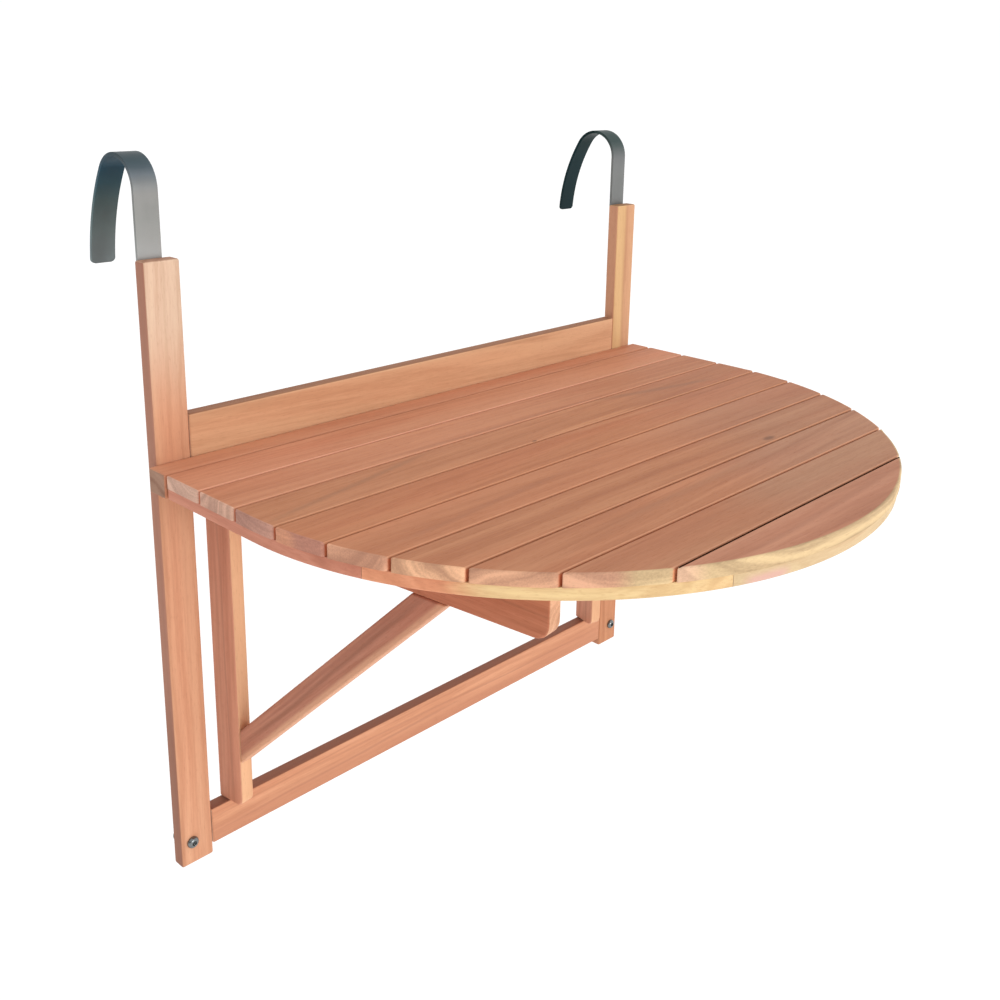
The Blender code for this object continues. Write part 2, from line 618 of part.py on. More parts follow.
def bracket_shapes():
    """(name, outline, material) of a bracket's boards. An outline is (reach from the pivot, height)."""
    back = -BOARD / 2
    face = back + POST_WIDTH
    arm_floor = BRACKET_TOP - ARM_HEIGHT
    rise = math.tan(math.radians(BRACE_ANGLE))
    low = BRACKET_FOOT + BRACE_FOOT
    high = low + BRACE_WIDTH / math.cos(math.radians(BRACE_ANGLE))
    start = face + SEAT_GAP
    under = arm_floor - SEAT_GAP
    toe = corner(face, BRACKET_FOOT, POST_TOE_RADIUS)
    nose = corner(ARM_REACH, arm_floor, ARM_NOSE_RADIUS)
    post = [(back, BRACKET_FOOT), *toe, (face, BRACKET_TOP), (back, BRACKET_TOP)]
    arm = [(start, arm_floor), *nose, (ARM_REACH, BRACKET_TOP), (start, BRACKET_TOP)]
    brace = [
        (start, low),
        (start + (under - low) / rise, under),
        (start + (under - high) / rise, under),
        (start, high),
    ]
    return (
        ("post", post, "oiled_wood_dark"),
        ("arm", arm, "oiled_wood"),
        ("brace", brace, "oiled_wood"),
    )


def corner(x, y, radius):
    """Points round a board's lower front corner, from its lower edge to its upright one."""
    angles = [math.pi / 2 * step / CORNER_STEPS for step in range(CORNER_STEPS + 1)]
    return [(x - radius * (1 - math.sin(a)), y + radius * (1 - math.cos(a))) for a in angles]


def bracket(side, word, swing, root, rails):
    """A triangular bracket on its two pivot pins."""
    turn = -side * swing
    holder = empty(word + "_bracket_pivot", (side * PIVOT_X, PIVOT_Y, 0), root, turn)
    stand = Matrix(((0, 0, 1, -BOARD / 2), (-1, 0, 0, 0), (0, 1, 0, 0), (0, 0, 0, 1)))
    hole = PIVOT_RADIUS + HOLE_EASE
    depth = PIVOT_DEPTH + SEAT_GAP
    for kind, outline, material in bracket_shapes():
        board = prism(f"{word}_bracket_{kind}", outline, BOARD, material, stand)
        seat(board, (0, 0, 0), holder)
        round_edges(board, EDGE_ROUND)
        if kind == "post":
            bore(board, (0, 0, BRACKET_FOOT), (0, 0, 1), hole, depth)
            bore(board, (0, 0, BRACKET_TOP), (0, 0, -1), hole, depth)
    levels = (
        ("lower", rails["lower"], BRACKET_FOOT, LOWER_RAIL_TOP, -1),
        ("upper", rails["upper"], BRACKET_TOP, UNDERSIDE, 1),
    )
    for level, rail, post_end, rail_face, way in levels:
        drilled = Vector((side * PIVOT_X, PIVOT_Y, rail_face)) - rail.location
        bore(rail, drilled, (0, 0, way), hole, depth)
        pin = rod(f"{word}_{level}_pivot_pin", PIVOT_RADIUS, 2 * PIVOT_DEPTH + RUNNING_GAP, "zinc_steel")
        seat(pin, (side * PIVOT_X, PIVOT_Y, (post_end + rail_face) / 2), root)


def build():
    clear_scene()
    root = empty("table_frame", (0, -HANDRAIL_Y, -HANDRAIL_Z))
    pivot = empty("tabletop_pivot", (0, HINGE_Y, HINGE_Z), root)
    uprights = frame_boards(root)
    rails = {"lower": bpy.data.objects["lower_rail"], "upper": bpy.data.objects["upper_rail"]}
    hooks(root, uprights)
    feet(root, uprights)
    strip = batten(root)
    planks(pivot)
    rims = rim(pivot)
    for side, word, swing in ((-1, "left", LEFT_SWING), (1, "right", RIGHT_SWING)):
        hinge(side, word, root, pivot, {"fixed": strip, "moving": rims[f"rim_{word}_side"]})
        bracket(side, word, swing, root, rails)


build()
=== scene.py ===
import bpy
import math
from mathutils import Matrix, Vector


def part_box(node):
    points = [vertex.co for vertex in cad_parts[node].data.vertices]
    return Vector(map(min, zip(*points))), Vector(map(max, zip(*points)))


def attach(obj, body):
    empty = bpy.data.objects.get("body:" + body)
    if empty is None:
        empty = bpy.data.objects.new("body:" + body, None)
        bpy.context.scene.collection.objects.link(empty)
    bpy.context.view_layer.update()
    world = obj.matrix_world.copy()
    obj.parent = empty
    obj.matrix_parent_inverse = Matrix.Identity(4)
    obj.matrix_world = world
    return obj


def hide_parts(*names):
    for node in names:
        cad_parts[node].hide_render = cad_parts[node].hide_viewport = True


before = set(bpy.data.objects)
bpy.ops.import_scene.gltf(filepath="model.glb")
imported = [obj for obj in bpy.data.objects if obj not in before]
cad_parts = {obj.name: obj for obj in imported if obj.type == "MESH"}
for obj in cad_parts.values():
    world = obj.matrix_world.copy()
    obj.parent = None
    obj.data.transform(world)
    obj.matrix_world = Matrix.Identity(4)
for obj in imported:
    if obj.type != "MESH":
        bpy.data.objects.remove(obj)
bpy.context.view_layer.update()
scene = bpy.context.scene
scene.view_settings.view_transform = "Standard"


def dropSelection():
    if bpy.context.mode != "OBJECT":
        bpy.ops.object.mode_set(mode="OBJECT")
    bpy.ops.object.select_all(action="DESELECT")


def pick(piece):  # only this piece is selected and active
    dropSelection()
    piece.select_set(True)
    bpy.context.view_layer.objects.active = piece
    return piece


def named(piece, name):
    piece.name = name
    piece.data.name = name
    return piece


def openUp(piece, action="SELECT"):  # edit mode, with all or nothing selected
    pick(piece)
    bpy.ops.object.mode_set(mode="EDIT")
    bpy.ops.mesh.select_all(action=action)


def closeUp():
    bpy.ops.object.mode_set(mode="OBJECT")


def extrude(*move):
    bpy.ops.mesh.extrude_region_move(TRANSFORM_OT_translate={"value": move})


def settle(piece):  # the place goes into the mesh
    pick(piece)
    bpy.ops.object.transform_apply(location=True, rotation=True, scale=True)
    return piece


def applyAll(piece):
    pick(piece)
    for modifier in list(piece.modifiers):
        bpy.ops.object.modifier_apply(modifier=modifier.name)
    return piece


def faceOut(piece, near=0.00001):
    openUp(piece)
    bpy.ops.mesh.remove_doubles(threshold=near)
    bpy.ops.mesh.normals_make_consistent(inside=False)
    closeUp()
    return piece


def block(name, low, high):  # a board between two corners
    low, high = Vector(low), Vector(high)
    dropSelection()
    bpy.ops.mesh.primitive_cube_add(size=1, location=(low + high) / 2)
    piece = named(bpy.context.object, name)
    piece.scale = high - low
    return settle(piece)


def bar(name, radius, start, stop, sides=48):  # a round bar between two points
    start, stop = Vector(start), Vector(stop)
    along = stop - start
    dropSelection()
    bpy.ops.mesh.primitive_cylinder_add(vertices=sides, radius=radius, depth=along.length,
                                        location=(start + stop) / 2)
    piece = named(bpy.context.object, name)
    piece.rotation_mode = "QUATERNION"
    piece.rotation_quaternion = along.to_track_quat("Z", "Y")
    return settle(piece)


def drum(name, sides, radius, deep, place, turn=(0, 0, 0)):
    dropSelection()
    bpy.ops.mesh.primitive_cylinder_add(vertices=sides, radius=radius, depth=deep,
                                        location=place, rotation=turn)
    return settle(named(bpy.context.object, name))


def section(name, corners):  # a flat section between four corners
    dropSelection()
    bpy.ops.mesh.primitive_plane_add(size=1)
    piece = named(bpy.context.object, name)
    for vertex, corner in zip(piece.data.vertices, corners):
        vertex.co = corner
    return piece


def shapeWith(piece, tool, operation="DIFFERENCE"):  # cuts the tool out, or joins it on
    change = piece.modifiers.new("shape", "BOOLEAN")
    change.operation = operation
    change.solver = "EXACT"
    change.object = tool
    applyAll(piece)
    bpy.data.objects.remove(tool, do_unlink=True)
    return piece


def easeEdges(piece, width, steps=3, angle=40):
    ease = piece.modifiers.new("eased", "BEVEL")
    ease.width = width
    ease.segments = steps
    ease.limit_method = "ANGLE"
    ease.angle_limit = math.radians(angle)
    return applyAll(piece)


def shadeBoard(piece, angle=32):  # flats stay flat, rounded edges read as round
    pick(piece)
    bpy.ops.object.shade_smooth_by_angle(angle=math.radians(angle))
    even = piece.modifiers.new("even", "WEIGHTED_NORMAL")
    even.keep_sharp = True
    return applyAll(piece)


def selectFaces(piece, wanted):  # picks faces by their centre and normal, in edit mode
    openUp(piece, "DESELECT")
    bpy.ops.mesh.select_mode(type="FACE")
    closeUp()
    for face in piece.data.polygons:
        face.select = wanted(face.center, face.normal)
    bpy.ops.object.mode_set(mode="EDIT")


def bevelEdges(piece, wanted, width, steps):  # eases the edges that are picked by their two ends
    openUp(piece, "DESELECT")
    bpy.ops.mesh.select_mode(type="EDGE")
    closeUp()
    spots = piece.data.vertices
    for edge in piece.data.edges:
        edge.select = wanted(*(spots[end].co for end in edge.vertices))
    bpy.ops.object.mode_set(mode="EDIT")
    bpy.ops.mesh.bevel(offset=width, segments=steps, affect="EDGES")
    closeUp()
    return piece


def copyOf(piece, name, place=Matrix()):  # a copy with its own mesh, moved by a matrix
    twin = piece.copy()
    twin.data = piece.data.copy()
    scene.collection.objects.link(twin)
    twin.data.transform(place)
    return named(twin, name)


def middleOf(node):
    low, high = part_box(node)
    return (low + high) / 2


def lastly(piece, body, material, node):  # body, finish and the solid that it stands for
    piece.data.materials.clear()
    piece.data.materials.append(material)
    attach(piece, body)
    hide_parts(node)


def sums(kind, turned=False):  # an operator's method, turned for its reflected form
    def work(self, other):
        return self.sum(kind, other, self) if turned else self.sum(kind, self, other)
    return work


class Wire:  # one socket, with the sums that are used on it
    def __init__(self, bench, socket):
        self.bench = bench
        self.socket = socket

    def sum(self, kind, first, second=0.0):
        return self.bench.add("ShaderNodeMath", {"operation": kind}, {0: first, 1: second})

    __add__, __radd__ = sums("ADD"), sums("ADD", True)
    __sub__, __rsub__ = sums("SUBTRACT"), sums("SUBTRACT", True)
    __mul__, __rmul__ = sums("MULTIPLY"), sums("MULTIPLY", True)
    __pow__, __rpow__ = sums("POWER"), sums("POWER", True)

    def __abs__(self):
        return self.sum("ABSOLUTE", self)


class Workbench:  # the nodes of one material, or of the studio's sky
    def __init__(self, owner):
        owner.use_nodes = True
        self.owner = owner
        self.tree = owner.node_tree
        self.tree.nodes.clear()

    def add(self, kind, settings, sockets, give=0):
        node = self.tree.nodes.new(kind)
        for key, value in settings.items():
            if key == "stops":
                ramp = node.color_ramp
                while len(ramp.elements) < len(value):
                    ramp.elements.new(0.5)
                for element, (place, colour) in zip(ramp.elements, value):
                    element.position = place
                    element.color = (*colour, 1.0)
            else:
                setattr(node, key, value)
        for key, value in sockets.items():
            target = node.inputs[key]
            if isinstance(value, Wire):
                self.tree.links.new(value.socket, target)
            elif target.type == "RGBA":
                target.default_value = (*value, 1.0)
            else:
                target.default_value = value
        return Wire(self, node.outputs[give]) if node.outputs else None

    def place(self, give="Object"):
        return self.add("ShaderNodeTexCoord", {}, {}, give)

    def blend(self, share, first, second, way="MIX"):  # colours
        settings = {"data_type": "RGBA", "blend_type": way}
        return self.add("ShaderNodeMix", settings, {0: share, 6: first, 7: second}, 2)

    def ramp(self, value, stops):
        return self.add("ShaderNodeValToRGB", {"stops": stops}, {0: value})

    def toward(self, normal, way):  # how squarely a face looks along a direction
        return self.add("ShaderNodeVectorMath", {"operation": "DOT_PRODUCT"},
                        {0: normal, 1: tuple(way)}, "Value")

    def noise(self, spot, cells, detail=3.0, roughness=0.5):  # cells per metre each way
        spot = self.add("ShaderNodeVectorMath", {"operation": "MULTIPLY"}, {0: spot, 1: cells})
        sockets = {"Vector": spot, "Scale": 1.0, "Detail": detail, "Roughness": roughness}
        return self.add("ShaderNodeTexNoise", {"noise_dimensions": "3D"}, sockets)

    def step(self, value, start, stop):  # 0 before start, 1 after stop
        settings = {"interpolation_type": "SMOOTHSTEP"}
        return self.add("ShaderNodeMapRange", settings, {0: value, 1: start, 2: stop, 3: 0.0, 4: 1.0})

    def split(self, spot):  # a vector's three numbers
        first = self.add("ShaderNodeSeparateXYZ", {}, {0: spot})
        return [Wire(self, output) for output in first.socket.node.outputs]

    def joined(self, x, y, z):  # a vector from three numbers
        return self.add("ShaderNodeCombineXYZ", {}, {0: x, 1: y, 2: z})

    def bump(self, height, strength, distance):
        sockets = {"Strength": strength, "Distance": distance, "Height": height}
        return self.add("ShaderNodeBump", {}, sockets)

    def finished(self, fixed, varying):
        shader = self.add("ShaderNodeBsdfPrincipled", {}, {**fixed, **varying})
        self.add("ShaderNodeOutputMaterial", {}, {"Surface": shader})
        return self.owner


timber = {  # shared by all boards
    "roughness": 0.60,
    "sheen": 0.16,  # specular level of the oil film
    "ring": 105.0,  # growth bands per metre
    "wander": 0.026,
    "slope": 0.05,  # how far the grain runs across a board at most
    "relief": 0.00020,
    "shares": (0.62, 0.42, 0.42, 0.26),  # how much rings, streaks, clouds and fibres shade a board
    "noises": {  # cells per metre along and across the grain, detail, roughness
        "cloud": (3.0, 20.0, 2.0, 0.5),
        "drift": (7.0, 60.0, 2.0, 0.5),
        "streak": (5.5, 210.0, 3.0, 0.6),
        "fibre": (60.0, 900.0, 2.0, 0.5),
        "blush": (3.4, 34.0, 1.0, 0.5),
        "pores": (150.0, 1150.0, 1.0, 0.5),
        "vein": (7.0, 170.0, 2.0, 0.5),
    },
    "dark": (0.78, 0.69, 0.66),  # shares of a board's own colour, from its darkest bands to its palest
    "dull": (0.95, 0.92, 0.90),
    "clear": (1.04, 1.06, 1.07),
    "pale": (1.17, 1.27, 1.26),
    "edgeHighlight": (1.32, 1.50, 1.70),  # painted highlight on a plank's front edge
    "pore": (0.52, 0.42, 0.38),
    "blush": (1.02, 0.90, 0.88),
    "vein": (0.84, 0.79, 0.76),
    "knot": (0.13, 0.062, 0.038),
    "end": (0.66, 0.46, 0.34),  # pale end grain
    "endShare": 0.9,
}


def tint(colour, shares):
    return tuple(part * share for part, share in zip(colour, shares))


def grades(colour):  # the stops of a board's bands
    places = {"dark": 0.14, "dull": 0.44, "clear": 0.56, "pale": 0.88}
    return [(place, tint(colour, timber[band])) for band, place in places.items()]


def oiledTimber(name, along, across, centre, look):
    bench = Workbench(bpy.data.materials.new(name))
    own, seed, figure = look["colour"], look["seed"], look.get("figure", 1.0)
    along, across = Vector(along).normalized(), Vector(across).normalized()
    turn = Matrix((along, across, along.cross(across)))
    board = bench.add("ShaderNodeMapping", {"vector_type": "POINT"},
                      {"Vector": bench.place(), "Location": tuple(turn @ -Vector(centre)),
                       "Rotation": tuple(turn.to_euler())})
    facing = bench.place("Normal")
    length, wide, thick = bench.split(board)
    slope = timber["slope"] * math.sin(seed * 1.7)
    spot = bench.joined(length + seed * 1.73, wide + length * slope + seed * 0.91, thick + seed * 0.57)
    cloud, drift, streak, fibre, blush, pores, vein = [
        bench.noise(spot, (longCells, fineCells, fineCells), detail, rough)
        for longCells, fineCells, detail, rough in timber["noises"].values()]
    pores, vein = bench.step(pores, 0.60, 0.72), bench.step(vein, 0.54, 0.72)
    pithWide, pithThick = look["pith"]
    reach = ((wide + pithWide) ** 2.0 + (thick + pithThick) ** 2.0) ** 0.5
    reach = reach + (cloud - 0.5) * timber["wander"] + (drift - 0.5) * 0.006
    ringSockets = {"W": reach * timber["ring"] + seed * 7.3, "Scale": 1.0, "Detail": 2.0, "Roughness": 0.55}
    rings = bench.add("ShaderNodeTexNoise", {"noise_dimensions": "1D"}, ringSockets)
    ringShare, streakShare, cloudShare, fibreShare = timber["shares"]
    shade = 0.50 + (rings - 0.5) * (ringShare * figure) + (streak - 0.5) * (streakShare * figure)
    shade = shade + (cloud - 0.5) * (cloudShare * figure) + (fibre - 0.5) * fibreShare

    def bands(tone):  # the same figure in another tone
        return bench.blend(shade, tint(tone, timber["dark"]), tint(tone, timber["pale"]))
    colour = bench.ramp(shade, grades(own))
    if "fade" in look:  # the board pales, or darkens, along its length
        other, start, stop = look["fade"]
        share = bench.step(length + (drift - 0.5) * 0.03, start, stop)
        colour = bench.blend(share, colour, bench.ramp(shade, grades(other)))
    colour = bench.blend(bench.step(blush, 0.40, 0.66) * 0.45, colour, timber["blush"], "MULTIPLY")
    colour = bench.blend(vein * (0.55 * figure), colour, timber["vein"], "MULTIPLY")
    if "band" in look:  # another tone along one edge, above a place on the board
        other, start, stop, above = look["band"]
        stripe = 1.0 - bench.step(wide + (drift - 0.5) * 0.004, start, stop)
        colour = bench.blend(stripe * bench.step(length, above, above + 0.03), colour, bands(other))
    for way, other, foot, start, stop in look.get("faces", ()):  # painted light and shade: a face's tone, and that of its lower end
        squarely = bench.step(bench.toward(facing, way), 0.55, 0.90)
        other = bench.blend(bench.step(length, start, stop), bands(foot), bands(other))
        colour = bench.blend(squarely, colour, other)
    for (fromLength, fromWide), (toLength, toWide), half, tone, share in look.get("streaks", ()):
        line = (length - fromLength) * ((toWide - fromWide) / (toLength - fromLength)) + fromWide
        near = 1.0 - bench.step(abs(wide - line + (drift - 0.5) * 0.006), 0.0, half)
        run = (toLength - fromLength) / 5
        near = near * bench.step(length, fromLength - run, fromLength + run)
        near = near * (1.0 - bench.step(length, toLength - run, toLength + run))
        colour = bench.blend(near * share, colour, tone)
    if "gapShading" in look:  # painted shade and light in the gaps: the sides inside a gap are reddened in their shade, and lifted over the rim where it keeps off the light from below; a painted highlight pales the edge behind it
        half, top, depth = look["gapShading"]
        gapShading = bench.step(abs(wide), half - 0.0007, half - 0.0002)
        gapShading = gapShading * (1.0 - bench.step(thick, top - 0.0022, top - 0.0014))
        colour = bench.blend(gapShading * 0.8, colour, tint(own, depth))
        # painted highlight: the front top edge is paled
        edgeHighlight = bench.step(0.0 - wide, half - 0.0014, half - 0.0008)
        edgeHighlight = edgeHighlight * bench.step(thick, top - 0.0014, top - 0.0009)
        colour = bench.blend(edgeHighlight * 0.8, colour, tint(own, timber["edgeHighlight"]))
    end = look.get("end", timber["end"])
    endShade = 0.50 + (rings - 0.5) * 1.3 + (cloud - 0.5) * 0.8 + (fibre - 0.5) * 0.35
    if "arc" in look:  # a plank's ends lie on the top's round edge
        centre, radius, far, start, stop = look["arc"]
        x, y, z = bench.split(bench.place())
        ahead = y.sum("MINIMUM", y - centre, 0.0)
        reach = (x ** 2.0 + ahead ** 2.0) ** 0.5
        endFace = bench.step(reach, radius - 0.0021, radius - 0.0009)
        endFace = endFace + bench.step(abs(x), radius - 0.0016, radius - 0.0006) * (1.0 - endFace)
        end = bench.blend(bench.step(x, start, stop), end, far)
        dark = bench.blend(1.0, end, (0.60, 0.57, 0.59), "MULTIPLY")
        pale = bench.blend(1.0, end, (1.18, 1.20, 1.20), "MULTIPLY")
        endColour = bench.blend(bench.step(endShade, 0.1, 0.9), dark, pale)
    else:
        endFace = bench.step(abs(bench.toward(facing, along)), 0.66, 0.90)
        dark, pale = tint(end, (0.66, 0.58, 0.54)), tint(end, (1.1, 1.14, 1.16))
        endColour = bench.ramp(endShade, ((0.16, dark), (0.55, end), (0.9, pale)))
    colour = bench.blend(endFace * timber["endShare"], colour, endColour)
    colour = bench.blend(pores * look.get("pores", 0.15), colour, tint(own, timber["pore"]))
    for at, side, size in look.get("knots", ()):  # small pin knots
        away = bench.joined((length - at) * 0.42, wide - side, 0.0)
        far = bench.add("ShaderNodeVectorMath", {"operation": "LENGTH"}, {0: away}, "Value")
        colour = bench.blend((1.0 - bench.step(far, size * 0.3, size)) * 0.6, colour, timber["knot"])
    roughness = timber["roughness"] + (streak - 0.5) * 0.14 + pores * 0.12 + endFace * 0.12
    normal = bench.bump(fibre * 0.35 + streak * 0.4 - pores * 0.9, 0.35, timber["relief"])
    return bench.finished({"Specular IOR Level": timber["sheen"]},
                          {"Base Color": colour, "Roughness": roughness, "Normal": normal})


bluedStrip = {"roughness": 0.46, "metallic": 0.55, "rolling": (60.0, 60.0, 9.0)}
steels = {  # the hooks' tones by height, painted reflection and shade among them: on the near leg and its half of the crown, and on the free side
    "leftHookSteel": {
        **bluedStrip, "gloss": 0.5,
        "leg": (
            (-0.087, (0.305, 0.310, 0.305)), (-0.070, (0.315, 0.320, 0.315)), (-0.056, (0.262, 0.268, 0.258)),
            (-0.044, (0.238, 0.244, 0.234)), (-0.026, (0.234, 0.236, 0.228)), (-0.019, (0.198, 0.210, 0.212)),
            (-0.013, (0.150, 0.176, 0.196)), (-0.007, (0.072, 0.100, 0.118)), (-0.002, (0.046, 0.074, 0.088)),
            (0.003, (0.032, 0.054, 0.064))),
        "free": (
            (-0.087, (0.170, 0.212, 0.222)), (-0.070, (0.155, 0.207, 0.216)), (-0.062, (0.138, 0.194, 0.200)),
            (-0.049, (0.110, 0.165, 0.175)), (-0.036, (0.075, 0.133, 0.144)), (-0.023, (0.034, 0.098, 0.130)),
            (-0.010, (0.014, 0.066, 0.106)), (0.003, (0.030, 0.055, 0.070)))},
    "rightHookSteel": {
        **bluedStrip, "gloss": 0.15,
        "leg": (
            (-0.087, (0.210, 0.217, 0.215)), (-0.044, (0.204, 0.212, 0.208)), (-0.026, (0.202, 0.210, 0.212)),
            (-0.019, (0.150, 0.165, 0.165)), (-0.013, (0.090, 0.115, 0.112)), (-0.007, (0.053, 0.079, 0.077)),
            (-0.002, (0.042, 0.068, 0.065)), (0.003, (0.035, 0.058, 0.055))),
        "free": (
            (-0.087, (0.010, 0.028, 0.032)), (-0.049, (0.008, 0.027, 0.032)), (-0.023, (0.006, 0.027, 0.032)),
            (-0.010, (0.005, 0.024, 0.026)), (0.003, (0.008, 0.024, 0.024)))},
    "zincSteel": {"dark": (0.42, 0.43, 0.43), "pale": (0.60, 0.60, 0.58), "fleck": (0.70, 0.70, 0.69),
                  "roughness": 0.34, "metallic": 1.0, "gloss": 0.5, "rolling": (300.0, 300.0, 300.0)},
    "darkSteel": {"dark": (0.12, 0.13, 0.135), "pale": (0.24, 0.25, 0.25), "fleck": (0.34, 0.34, 0.34),
                  "roughness": 0.22, "metallic": 0.90, "gloss": 0.5, "rolling": (400.0, 400.0, 400.0)},
}


def stripSteel(name):
    look = steels[name]
    bench = Workbench(bpy.data.materials.new(name))
    place = bench.place()
    rolled = bench.noise(place, look["rolling"], 3.0, 0.6)
    cloud = bench.noise(place, (38.0, 38.0, 38.0), 3.0, 0.55)
    speck = bench.step(bench.noise(place, (900.0, 900.0, 900.0), 2.0), 0.60, 0.74)
    if "leg" in look:  # partly a dark blue scale that hot bending left on the bend, thinning out along both legs, and partly painted reflection and shade: the tones darken towards the crown and on the free side
        side, outward, up = bench.split(place)
        drift = (cloud - 0.5) * 0.008
        bottom, tall = -0.090, 0.093
        level = (up + drift - bottom) * (1 / tall)
        tones = [bench.ramp(level, [((z - bottom) / tall, tone) for z, tone in look[part]])
                 for part in ("leg", "free")]
        colour = bench.blend(bench.step(outward + drift, -0.010, -0.002), *tones)
        grain = bench.step(cloud * 0.6 + rolled * 0.4, 0.35, 0.65)
        mottle = bench.blend(grain, (0.92, 0.92, 0.92), (1.07, 1.07, 1.07))
        colour = bench.blend(1.0, colour, mottle, "MULTIPLY")
    else:
        colour = bench.blend(bench.step(cloud * 0.7 + rolled * 0.3, 0.35, 0.65), look["dark"], look["pale"])
        colour = bench.blend(speck * 0.25, colour, look["fleck"])
    roughness = look["roughness"] + (cloud - 0.5) * 0.16 + (rolled - 0.5) * 0.10 + speck * 0.08
    normal = bench.bump(rolled * 0.5 + cloud * 0.3 + speck * 0.2, 0.25, 0.00008)
    return bench.finished({"Metallic": look["metallic"], "Specular IOR Level": look["gloss"]},
                          {"Base Color": colour, "Roughness": roughness, "Normal": normal})


def mouldedRubber(name):
    bench = Workbench(bpy.data.materials.new(name))
    place = bench.place()
    grain = bench.noise(place, (1400.0, 1400.0, 1400.0), 2.0)
    dust = bench.noise(place, (120.0, 120.0, 120.0), 3.0)
    colour = bench.blend(bench.step(dust, 0.45, 0.75) * 0.5, (0.018, 0.018, 0.018), (0.06, 0.058, 0.055))
    return bench.finished({}, {"Base Color": colour, "Roughness": 0.72 + (dust - 0.5) * 0.2,
                               "Normal": bench.bump(grain, 0.3, 0.0001)})


finishes = {name: stripSteel(name) for name in steels}
finishes["padRubber"] = mouldedRubber("padRubber")
print("finishes ready")

# where the frame's boards are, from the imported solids
leftLow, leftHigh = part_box("left_upright")
rightLow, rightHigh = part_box("right_upright")
frontFace, backFace = leftLow.y, leftHigh.y
boardThick = backFace - frontFace
underPlanks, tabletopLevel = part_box("plank_5")[0].z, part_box("plank_5")[1].z
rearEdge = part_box("plank_1")[1].y
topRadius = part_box("plank_1")[1].x
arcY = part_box("plank_9")[0].y + topRadius

uprights = {
    "edge": 0.0018,
    "mortise": 0.012,
    "tenon": 0.006,
    "shoulder": 0.006,
    "slack": 0.0003,
    "boltHole": 0.0033,
    "nutPocket": 0.0061,
    "left": {"colour": (0.646, 0.324, 0.190), "seed": 11, "pith": (0.045, -0.030),
             # the end tone is end grain, lifted by a painted highlight of the top's rounded edges
             "end": (0.45, 0.235, 0.155), "fade": ((0.685, 0.495, 0.355), 0.125, 0.225),
             # painted shade: the side face is darker, more so at its foot
             "faces": (((-1, 0, 0), (0.450, 0.205, 0.140), (0.365, 0.160, 0.105), -0.15, -0.07),)},
    "right": {"colour": (0.545, 0.242, 0.126), "seed": 23, "pith": (-0.034, -0.052),
              "end": (0.35, 0.177, 0.09), "fade": ((0.615, 0.328, 0.183), 0.03, 0.08),
              "band": ((0.72, 0.45, 0.225), -0.004, 0.004, 0.03),
              # painted light: the side face is lighter, less so at its foot
              "faces": (((-1, 0, 0), (0.670, 0.340, 0.210), (0.590, 0.270, 0.155), -0.15, -0.07),)},
}


def makeUprights():
    railBoxes = [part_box("lower_rail"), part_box("upper_rail")]
    middle, slack = (frontFace + backFace) / 2, uprights["slack"]
    half = uprights["tenon"] / 2 + slack
    for side, word, low, high in ((-1, "left", leftLow, leftHigh), (1, "right", rightLow, rightHigh)):
        upright = easeEdges(block(word + "_upright_board", low, high), uprights["edge"])
        inner = low.x if side > 0 else high.x
        reach = uprights["mortise"] + slack
        for railLow, railHigh in railBoxes:
            floor = railLow.z + uprights["shoulder"] - slack
            ceiling = railHigh.z - uprights["shoulder"] + slack
            shapeWith(upright, block("mortise", (inner - reach, middle - half, floor),
                                     (inner + reach, middle + half, ceiling)))
        x, y, z = middleOf(word + "_bolt")
        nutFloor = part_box(word + "_bolt_nut")[0].y - slack
        for tool, start in (("boltHole", frontFace - 0.01), ("nutPocket", nutFloor)):
            shapeWith(upright, bar(tool, uprights[tool], (x, start, z), (x, backFace + 0.01, z)))
        shadeBoard(upright)
        wood = oiledTimber(word + "UprightWood", (0, 0, 1), (1, 0, 0), (low + high) / 2, uprights[word])
        lastly(upright, "hanging_frame", wood, word + "_upright")
    print("uprights done")


makeUprights()

rails = {
    # a rail's top tone is painted shade on its top face
    "upper_rail": {"colour": (0.69, 0.390, 0.222), "seed": 31, "pith": (0.004, -0.060),
                   "top": (0.335, 0.149, 0.079), "slot": "oiled_wood_light"},
    "lower_rail": {"colour": (0.67, 0.322, 0.185), "seed": 37, "pith": (-0.030, 0.048), "figure": 1.4,
                   "top": (0.292, 0.122, 0.077), "slot": "oiled_wood",
                   "band": ((0.539, 0.231, 0.134), -0.010, 0.006, -1.0),
                   "streaks": (((-0.25, -0.006), (0.02, -0.001), 0.0022, (0.42, 0.17, 0.10), 0.5),
                               ((-0.12, 0.006), (0.25, -0.002), 0.0020, (0.42, 0.17, 0.10), 0.45),
                               ((-0.27, 0.008), (-0.10, 0.011), 0.0016, (0.44, 0.18, 0.10), 0.4))},
}


def makeRails():
    shoulder = leftHigh.x + uprights["slack"]
    for name, look in rails.items():
        low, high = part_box(name)
        rail = block(name + "_board", (shoulder, low.y, low.z), (-shoulder, high.y, high.z))
        easeEdges(rail, uprights["edge"])
        middle, half = (low.y + high.y) / 2, uprights["tenon"] / 2
        floor, ceiling = low.z + uprights["shoulder"], high.z - uprights["shoulder"]
        tenons = block("tenons", (low.x, middle - half, floor), (high.x, middle + half, ceiling))
        shadeBoard(shapeWith(rail, tenons, "UNION"))
        # painted shade: the top face takes the darker top tone
        look["faces"] = (((0, 0, 1), look["top"], look["top"], 0.0, 1.0),)
        wood = oiledTimber(name + "Wood", (1, 0, 0), (0, 0, 1), (low + high) / 2, look)
        lastly(rail, "hanging_frame", wood, name)
    print("rails done")


makeRails()

